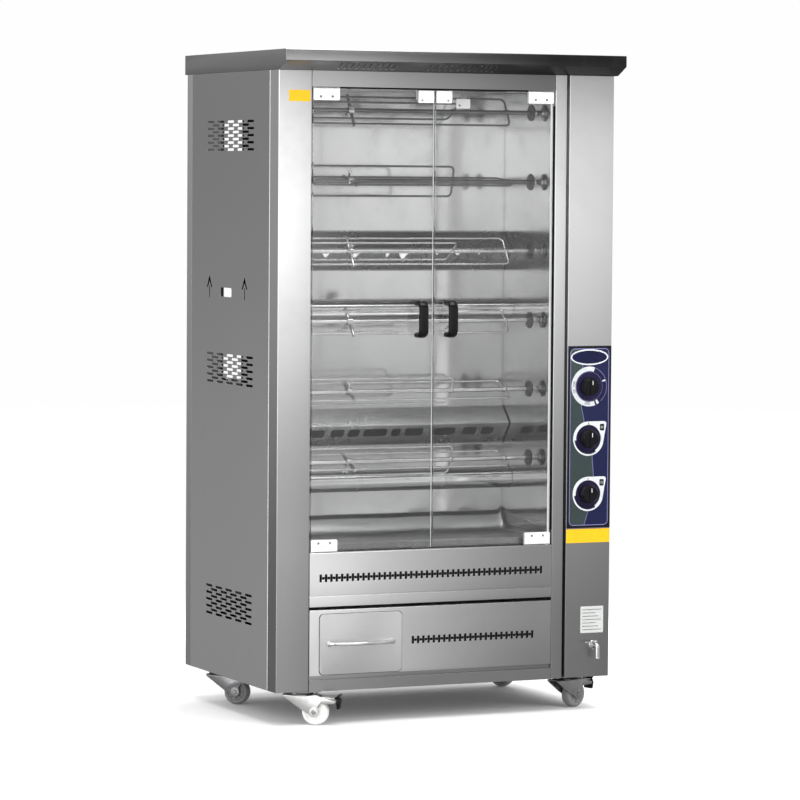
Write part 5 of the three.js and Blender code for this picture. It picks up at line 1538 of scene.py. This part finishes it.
def controlOverlay():
    look = overlayLook
    low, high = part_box('control_panel_plate')
    x0, z0, face = low.x, low.z, low.y
    stock = box2d(low.x, high.x, low.z, high.z, 2 * mm, 4)
    parts = [(plate(stock, 'y', low.y, high.y, 0.3 * mm), film['frame'])]

    def layer(outline, ink, depth):
        back, front = face - look['layer'] * (depth - 1) + 0.02 * mm, face - look['layer'] * depth
        parts.append((plate(outline, 'y', front, back), film[ink]))
    at = lambda u, w: Vector((x0 + u, z0 + w))
    inset, width, height = look['inset'], high.x - low.x, high.z - low.z
    layer(box2d(x0 + inset, x0 + width - inset, z0 + inset, z0 + height - inset, look['corner'], 8), 'border', 1)
    rim = inset + look['line']
    field = box2d(x0 + rim, x0 + width - rim, z0 + rim, z0 + height - rim, look['corner'] - look['line'], 8)
    layer(field, 'navy', 2)
    wave = [at(u, w) for u, w in look['divider']]
    wave[0].y, wave[-1].y = z0 + height - rim, z0 + rim
    smoothWave = rounded(wave, 60 * mm, 10)
    r = look['corner'] - look['line']
    left = [at(rim + r, rim)] + arc2d(at(rim + r, rim + r), r, 270, 180, 8)[1:] + arc2d(
        at(rim + r, height - rim - r), r, 180, 90, 8)
    layer((smoothWave + left)[::-1], 'green', 3)
    edge = [p + Vector((0.9 * mm, 0)) for p in smoothWave] + [p - Vector((0.9 * mm, 0)) for p in smoothWave[::-1]]
    layer(edge, 'border', 4)
    u, w, halfWidth, halfHeight, thick = look['oval']
    for shrink, ink, depth in ((0.0, 'white', 5), (thick, 'navy', 6)):
        oval = [at(u + (halfWidth - shrink) * math.cos(t), w + (halfHeight - shrink) * math.sin(t))
                for t in fullTurn(72)]
        layer(oval, ink, depth)
    # the thermostat's ring: a broad white band that runs out into a thin line
    centre = at(look['centre'], look['ringLevel'])
    layer(circle2d(centre, 54 * mm, 72), 'purple', 5)
    for inner, outer, start, end, steps, ink, depth in look['dial']:
        layer(ringStrip(centre, inner * mm, outer * mm, start, end, steps), ink, depth)
    for words, angle in look['figures']:
        spot = centre + look['figureRadius'] * Vector((math.cos(math.radians(angle)),
                                                       math.sin(math.radians(angle))))
        lean = angle - 90 if angle < 200 else angle + 90
        parts.append((lettering(words, look['figureSize'], spot, face - look['layer'] * 6 - 0.02 * mm, lean),
                      film['frame']))
    # the burners' teardrops
    for level in look['dropLevels']:
        centre = at(look['centre'] - 1 * mm, level)
        layer(teardrop(centre, look['dropRadius'], look['dropCorner'], look['dropBend']), 'white', 5)
        layer(circle2d(centre, 38 * mm, 72), 'frame', 6)
        layer(ringStrip(centre, 38 * mm, 43 * mm, 186, 302, 60), 'purple', 7)
        layer(circle2d(centre, 35 * mm, 72), 'purple', 7)
        layer(box2d(centre.x - 1 * mm, centre.x + 1 * mm, centre.y + 39 * mm, centre.y + 44.5 * mm), 'frame', 6)
        spot = centre + Vector((42 * mm, 31 * mm))
        layer(box2d(spot.x - 6.5 * mm, spot.x + 6.5 * mm, spot.y - 9 * mm, spot.y + 9 * mm, 2 * mm, 3), 'frame', 6)
        layer(ringStrip(spot, 2.1 * mm, 3.4 * mm, 0, 359.9, 24), 'white', 7)
    makePiece('controlOverlay', parts, 'root', ['control_panel_plate'], 25)


knobLook = {
    'profile': inMm((0, 0), (25, 0), (26, 0.9), (26, 5), (25.8, 6.6), (25, 7.6),
                    (24.4, 8.6), (24, 10.4), (23.2, 16.6), (22, 18.2), (19.6, 18.9), (0, 19.2)),
    'grip': (6 * mm, 23.6 * mm), 'waist': 14 * mm, 'root': 9 * mm,
}


def makeKnob(place):
    look, node = knobLook, place + '_knob'
    low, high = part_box(node)
    x, z, back = (low.x + high.x) / 2, (low.z + high.z) / 2, high.y
    reach = high.y - low.y
    parts = [(lathe(look['profile'], (x, back, z), (0, -1, 0), 64), blackPlastic)]
    grip = []
    for t in fullTurn(48):
        across, up = look['grip'][0] * swell(math.cos(t), 0.55), look['grip'][1] * swell(math.sin(t), 0.8)
        waist = 1 - 0.22 * (1 - min(1.0, abs(up) / look['waist']) ** 2)
        grip.append(Vector((x + across * waist, z + up)))
    parts.append((plate(grip, 'y', back - reach, back - look['root'], 1.5 * mm, 4, 50), blackPlastic))
    line = box2d(x - 0.8 * mm, x + 0.8 * mm, z + 5 * mm, z + 17 * mm, 0.7 * mm, 3)
    parts.append((plate(line, 'y', back - reach - 0.1 * mm, back - reach + 0.4 * mm), film['white']))
    makePiece(place + 'Knob', parts, place + '_knob_body', [node], 30)


labelLook = {
    'band': (465 * mm, 503 * mm), 'plate': (405 * mm, 476 * mm, 214 * mm, 288 * mm),
    'sticker': (-477 * mm, -415 * mm, 1668 * mm, 1698 * mm),
}


def blankLabel(name, x0, x1, z0, z1, ink, slot, corner=1 * mm, thick=0.2 * mm, rules=0):
    outline = box2d(x0, x1, z0, z1, corner, 4)
    parts = [(plate(outline, 'y', frontY - thick, frontY - 0.02 * mm, thick * 0.3, 1), film[ink])]
    # empty ruled lines
    for k in range(rules):
        z = z0 + (z1 - z0) * (k + 1) / (rules + 1)
        rule = box2d(x0 + 6 * mm, x1 - 6 * mm - 9 * mm * (k % 3), z - 1 * mm, z + 1 * mm)
        parts.append((plate(rule, 'y', frontY - thick - 0.08 * mm, frontY - thick + 0.02 * mm), film['rule']))
    makePiece(name, parts, 'root', ())


tapLook = {
    'level': 180 * mm, 'pipe': 6.2 * mm, 'bend': 12 * mm, 'spout': 6.5 * mm, 'leverHalf': 3.8 * mm,
    # turned parts along the barrel, with the number of sides
    'flange': (40, inMm((0, 0), (13, 0), (13, 1.2), (12.2, 2.2), (9, 2.8), (0, 2.8))),
    'nut': (6, inMm((0, 2.6), (10, 2.6), (11.2, 3.2), (11.2, 7.4), (10, 8), (0, 8))),
    'barrel': (36, inMm((0, 8), (7, 8), (7, 9), (8, 9.6), (8, 11), (7.2, 11.6),
                        (8.4, 14), (8.8, 17), (8.4, 20), (7.2, 23), (6.6, 25), (0, 25))),
    'lip': inMm((3.8, 0), (6.4, 0), (7, 1), (7, 3), (6.2, 4), (3.8, 4)),
    'bonnet': inMm((0, 0), (7.6, 0), (7.6, 4), (6.4, 6.4), (0, 6.4)),
    'stem': inMm((0, 0), (3, 0), (3, 11.6), (2.2, 12.8), (0, 12.8)),
    'cap': inMm((0, 0), (5, 0), (5, 1.8), (3.6, 2.8), (0, 3.2)),
}


def drainTap():
    look, up = tapLook, (0, 0, 1)
    low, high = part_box('drain_tap_body')
    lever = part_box('drain_tap_lever')
    x, z, stemY = (low.x + high.x) / 2, look['level'], (lever[0].y + lever[1].y) / 2
    shapes = [lathe(profile, (x, frontY, z), (0, -1, 0), sides)
              for sides, profile in (look['flange'], look['nut'], look['barrel'])]
    spoutY = low.y + look['spout']
    path = rounded([(x, frontY - 18 * mm, z), (x, spoutY, z), (x, spoutY, low.z + 1 * mm)], look['bend'], 10)
    shapes.append(shape(lambda bm: tube(bm, path, look['pipe'], 28)))
    shapes.append(lathe(look['lip'], (x, spoutY, low.z), up, 32, True))
    shapes.append(lathe(look['bonnet'], (x, stemY, z + 1.4 * mm), up, 6))
    shapes.append(lathe(look['stem'], (x, stemY, z + 0.6 * mm), up, 20))
    makePiece('drainTapBody', [(bm, chrome) for bm in shapes], 'root', ['drain_tap_body'])
    foot, head, tip, wide = lever[0].z, lever[1].z, lever[0].x, look['leverHalf']
    neck, flare = x - 9 * mm, wide * 1.15
    outline = arc2d((x, stemY), 5.4 * mm, -125, 125, 14) + rounded(
        [(neck, stemY + wide), (tip, stemY + flare), (tip, stemY - flare), (neck, stemY - wide)], 3.4 * mm, 6)
    parts = [(plate(outline, 'z', foot, head - 0.6 * mm, 0.5 * mm), chrome),
             (lathe(look['cap'], (x, stemY, head - 0.6 * mm), up, 6), chrome)]
    makePiece('drainTapLever', parts, 'tap_lever_body', ['drain_tap_lever'])


controlOverlay()
for place in ('lower', 'middle', 'upper'):
    makeKnob(place)
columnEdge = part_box('control_column_front')
left, right = columnEdge[0].x + 0.6 * mm, columnEdge[1].x - 0.6 * mm
blankLabel('yellowBand', left, right, *labelLook['band'], 'yellow', 'yellow_label')
blankLabel('blankPlate', *labelLook['plate'], 'pale', 'pale_label', 2 * mm, 0.5 * mm, 7)
blankLabel('yellowSticker', *labelLook['sticker'], 'yellow', 'yellow_label')
drainTap()
print('control column made')


# Fat drawer with its bow handle

drawerLook = {
    'corner': 12 * mm, 'thick': 2 * mm, 'margin': 12 * mm, 'handleHalf': 101.5 * mm, 'handleReach': 32 * mm,
    'grip': 4.4 * mm, 'end': 7.4 * mm, 'gasket': 1.3 * mm,
}


def fatDrawer():
    look = drawerLook
    low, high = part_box('fat_drawer')
    face = box2d(low.x, high.x, low.z, high.z, look['corner'], 8)
    parts = [(plate(face, 'y', low.y, low.y + look['thick'], 0.6 * mm), steel['drawer'])]
    # a dark strip behind the rim, painted shadow for the gap round the drawer
    x, z, lap = (low.x + high.x) / 2, (low.z + high.z) / 2, look['gasket']
    lip = [(p.x + (lap if p.x > x else -lap), p.y + (lap if p.y > z else -lap)) for p in face]
    parts.append((plate(lip, 'y', low.y + look['thick'], low.y + look['thick'] + 0.4 * mm), rubber))
    margin = look['margin']
    x0, x1, z0, z1 = low.x + margin, high.x - margin, low.z + margin, high.z - margin
    y0, y1 = low.y + look['thick'], high.y
    section = foldedOutline([(x0, z1), (x0, z0), (x1, z0), (x1, z1)], sheetThick, 3 * mm, 4)
    parts.append((plate(section, 'y', y0, y1), steel['drawerBox']))
    wall = box2d(x0 + 0.5 * mm, x1 - 0.5 * mm, z0 + 0.5 * mm, z1, 2 * mm, 3)
    for start in (y1 - sheetThick, y0):
        parts.append((plate(wall, 'y', start, start + sheetThick), steel['drawerBox']))
    near, far, inset = y0 + 2 * mm, y1 - 1.2 * mm, 1.2 * mm
    hem = [(x0 + inset, near, z1), (x0 + inset, far, z1), (x1 - inset, far, z1), (x1 - inset, near, z1)]
    rim = shape(lambda bm: tube(bm, rounded(hem, 4 * mm, 5), 1.6 * mm, 12, up=(0, 0, 1)))
    parts.append((rim, steel['drawerBox']))
    makePiece('fatDrawerSheet', parts, 'drawer_body', ['fat_drawer'], 30)


def drawerHandle():
    look = drawerLook
    low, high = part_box('fat_drawer_handle')
    x, z, back = (low.x + high.x) / 2, (low.z + high.z) / 2, high.y
    half, reach = look['handleHalf'] - 5 * mm, look['handleReach'] - 5.8 * mm
    steps, grip, end = 56, look['grip'], look['end']
    body = bmesh.new()
    rings = []
    for k in range(steps + 1):
        t = math.pi * k / steps
        middle = Vector((x - half * math.cos(t), back - 1.5 * mm - reach * math.sin(t), z))
        along = Vector((half * math.sin(t), -reach * math.cos(t), 0)).normalized()
        out = along.cross(Vector((0, 0, 1)))
        ease = min(1.0, min(k, steps - k) / 9)
        ease = ease * ease * (3 - 2 * ease)
        tall, thick = end + (grip - end) * ease, 1.5 * mm + (grip - 1.5 * mm) * ease
        rings.append([body.verts.new(middle + out * thick * swell(math.cos(a), 0.75)
                                     + Vector((0, 0, 1)) * tall * swell(math.sin(a), 0.75)) for a in fullTurn(24)])
    skin(body, rings)
    parts = [(outward(body), chrome)]
    for side in (-1, 1):
        foot = x + side * (look['handleHalf'] - 8 * mm)
        outline = box2d(foot - 8 * mm, foot + 8 * mm, z - end, z + end, 5 * mm, 6)
        parts.append((plate(outline, 'y', back - 2 * mm, back, 0.5 * mm), chrome))
    makePiece('drawerBow', parts, 'drawer_body', ['fat_drawer_handle'])


fatDrawer()
drawerHandle()
print('drawer made')


# Castors: pressed fork, ball race, nylon wheel, and a brake pedal at the front

castorNames = ('front_left', 'front_right', 'rear_left', 'rear_right')
castorLook = {
    # three castors take the darker finish as painted shade
    'front_left': (-40, True, 'bright'), 'front_right': (22, True, 'worn'),      # swivel, brake, finish
    'rear_left': (-45, False, 'worn'), 'rear_right': (-56, False, 'worn'),
    'trail': 38 * mm, 'wheel': 36 * mm, 'half': 15 * mm, 'cheekGap': 1.5 * mm, 'cheek': 3 * mm,
    'head': 28 * mm, 'lead': 50 * mm, 'guard': {True: 100 * mm, False: 68 * mm},       # with and without a brake
    'pivot': (21 * mm, 76 * mm), 'pedalEnd': 104 * mm, 'pedalHalf': 16 * mm,
    'wheelFace': inMm((9.5, 0), (10.5, 1), (11, 3.6), (24, 4), (26.4, 1.4), (28.4, 0.6)),
    'wheelRim': inMm((-3.6, 1.4), (-1.2, 3.6), (-0.2, 8)),
    'cheekLine': inMm((-30, 64), (2, 42), (24, 31), (31, 25.6), (45, 25.6), (48, 34), (49, 50), (56, 59)),
    'bolt': inMm((0, 0), (7, 0), (7, 1), (6.2, 1), (6.2, 3.2), (5.2, 4.2), (0, 4.2)),
    'race': inMm((-5, 0), (-3, 1.2), (-3, 2.6), (-5.4, 3.4), (-5.4, 4.2), (-1, 4.8), (0, 5.4), (0, 6.2), (-2, 7)),
    'press': inMm((0, -0.2), (13, -0.2), (12, 0.7), (9.4, 0.9), (0, 0.9)),
    'plateBolt': inMm((0, 0), (6, 0), (6, 0.9), (5.2, 0.9), (5.2, 3.4), (4.4, 4), (0, 4)),
    # the pedal's two black pieces, from its end
    'toe': inMm((-9, 72.6), (-3, 72.4), (2.4, 78), (3.6, 85), (0.6, 85.4), (-3, 79.4), (-9, 77.4)),
    'lobe': inMm((-6, 73.4), (3, 73.4), (6, 62), (3, 46), (-3, 45), (-5, 58)),
    'boltPlaces': (33 * mm, 23 * mm), 'top': 88.6 * mm,
}


def castorPlace(name):
    low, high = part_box(name + '_castor_wheel')
    turn = math.radians(castorLook[name][0])
    middle, trail = (low + high) / 2, castorLook['trail']
    stem = (middle.x - trail * math.cos(turn), middle.y - trail * math.sin(turn), 0)
    return Matrix.Translation(stem) @ Matrix.Rotation(turn, 4, 'Z')


def castorFork(name):
    look, place = castorLook, castorPlace(name)
    zinc = castorZinc[look[name][2]]
    cheek, lead, trail, wheel = (look[key] for key in ('cheek', 'lead', 'trail', 'wheel'))
    inner = look['half'] + look['cheekGap']
    outer, end = inner + cheek, look['guard'][look[name][1]]
    # a channel pressed to a rounded crown, trimmed to the cheek's outline
    line = [(-outer, 20 * mm), (-outer, 82.6 * mm), (outer, 82.6 * mm), (outer, 20 * mm)]
    section = foldedOutline(line[::-1], cheek, 6 * mm, 6)
    channel = plate(section, 'x', -lead - 2 * mm, end + 4 * mm)
    side = [(-lead, 84 * mm), (-lead, 78 * mm)] + look['cheekLine'] + [
        (end - 6 * mm, 60 * mm), (end, 66 * mm), (end * 0.62, 76 * mm), (34 * mm, 84 * mm)]
    cheekLine = rounded(side, 6 * mm, 5, True)
    profile = plate(cheekLine, 'y', -outer - 5 * mm, outer + 5 * mm)
    fork = carved(channel, profile, 'INTERSECT')
    softEdges(fork, 0.5 * mm, 2, 50)
    fork.transform(place)
    parts = [(fork, zinc)]
    head = look['head']
    race = [(5.4 * mm, 0)] + [(head + a, b) for a, b in look['race']] + [(5.4 * mm, 7 * mm)]
    parts.append((lathe(race, (0, 0, 80.6 * mm), (0, 0, 1), 48, True, place), zinc))
    seal = [(head - 4 * mm, 0), (head + 2.6 * mm, 0), (head + 2.6 * mm, 2.6 * mm), (head - 4 * mm, 2.6 * mm)]
    parts.append((lathe(seal, (0, 0, 82.9 * mm), (0, 0, 1), 48, True, place), rubber))
    for sign in (-1, 1):
        bolt = lathe(look['bolt'], (trail, sign * (outer - 0.1 * mm), wheel), (0, sign, 0), 6, place=place)
        parts.append((bolt, castorZinc['worn']))
        parts.append((lathe(look['press'], (trail, sign * outer, wheel), (0, sign, 0), 40, place=place), zinc))
    makePiece(name.replace('_', '') + 'Fork', parts, name + '_castor', [name + '_castor_fork'], 35)


def castorWheel(name):
    look, place = castorLook, castorPlace(name)
    tread = nylon[look[name][2]]
    r, half = look['wheel'], look['half']
    bore = 4.4 * mm
    profile = [(bore, -half)] + [(a, b - half) for a, b in look['wheelFace']]
    profile += [(r + a, b - half) for a, b in look['wheelRim']] + [(r, 0)]
    profile += [(radius, -y) for radius, y in profile[-2::-1]]
    parts = [(lathe(profile, (look['trail'], 0, r), (0, 1, 0), 64, True, place), tread)]
    for sign in (-1, 1):
        ring = [(bore - 0.3 * mm, 0), (7.4 * mm, 0), (7.4 * mm, 0.8 * mm), (bore - 0.3 * mm, 0.8 * mm)]
        bush = lathe(ring, (look['trail'], sign * half, r), (0, sign, 0), 32, True, place)
        parts.append((bush, castorZinc['worn']))
    ribs = bmesh.new()
    for k in range(8):
        for sign in (-1, 1):
            rib = bmesh.new()
            y0, y1 = sorted((sign * (half - 4.6 * mm), sign * (half - 1.9 * mm)))
            slab(rib, box2d(10.5 * mm, 26 * mm, y0, y1), 'z', -1.1 * mm, 1.1 * mm)
            rib.transform(Matrix.Translation((look['trail'], 0, r)) @ Matrix.Rotation(2 * math.pi * k / 8, 4, 'Y'))
            carrier = bpy.data.meshes.new('rib')
            rib.to_mesh(carrier)
            rib.free()
            ribs.from_mesh(carrier)
            bpy.data.meshes.remove(carrier)
    softEdges(ribs, 0.4 * mm, 1, 40)
    ribs.transform(place)
    parts.append((ribs, tread))
    makePiece(name.replace('_', '') + 'Wheel', parts, name + '_wheel', [name + '_castor_wheel'])


def castorBrake(name):
    look, place = castorLook, castorPlace(name)
    half, end = look['pedalHalf'], look['pedalEnd']
    pivotX, pivotZ = look['pivot']
    # a zinc tongue under the fork's crown, upturned where the black toe piece is clipped on
    line = [(pivotX, 77.4 * mm)] + inMm((60, 77), (84, 74.4), (97, 74.6)) + [(end, 81 * mm)]
    top = rounded(line, 8 * mm, 5)
    outline = top + [p - Vector((0, 2.2 * mm)) for p in top[::-1]]
    tongue = plate(outline[::-1], 'y', -half + 1 * mm, half - 1 * mm, 0.7 * mm, place=place)
    parts = [(tongue, castorZinc['bright'])]
    toe = rounded([(end + a, b) for a, b in look['toe']], 2.4 * mm, 4, True)
    parts.append((plate(toe, 'y', -half, half, 0.9 * mm, place=place), blackPlastic))
    lobe = rounded([(end + a, b) for a, b in look['lobe']], 5 * mm, 5, True)
    parts.append((plate(lobe, 'y', -half + 2 * mm, half - 2 * mm, 1.2 * mm, place=place), blackPlastic))
    for k in range(4):
        x = 62 * mm + k * 5 * mm
        rib = box2d(x - 0.9 * mm, x + 0.9 * mm, 75 * mm, 78 * mm, 0.4 * mm, 2)
        parts.append((plate(rib, 'y', -half + 4 * mm, half - 4 * mm, place=place), castorZinc['bright']))
    pin = [(0, -half), (2.5 * mm, -half), (2.5 * mm, half), (0, half)]
    parts.append((lathe(pin, (pivotX, 0, pivotZ), (0, 1, 0), 20, place=place), castorZinc['worn']))
    makePiece(name.replace('_', '') + 'Pedal', parts, name + '_brake', [name + '_castor_brake'])


def plateBolts():
    bolts = bmesh.new()
    across, back = castorLook['boltPlaces']
    for name in castorNames:
        origin = castorPlace(name).to_translation()
        for dx, dy in ((-across, -back), (-across, back), (across, -back), (across, back)):
            turned(bolts, castorLook['plateBolt'], (origin.x + dx, origin.y + dy, castorLook['top']), (0, 0, -1), 6)
    makePiece('castorPlateBolts', [(outward(bolts), castorZinc['worn'])], 'root', ())


for name in castorNames:
    castorFork(name)
    castorWheel(name)
    if castorLook[name][1]:
        castorBrake(name)
plateBolts()
print('castors made')
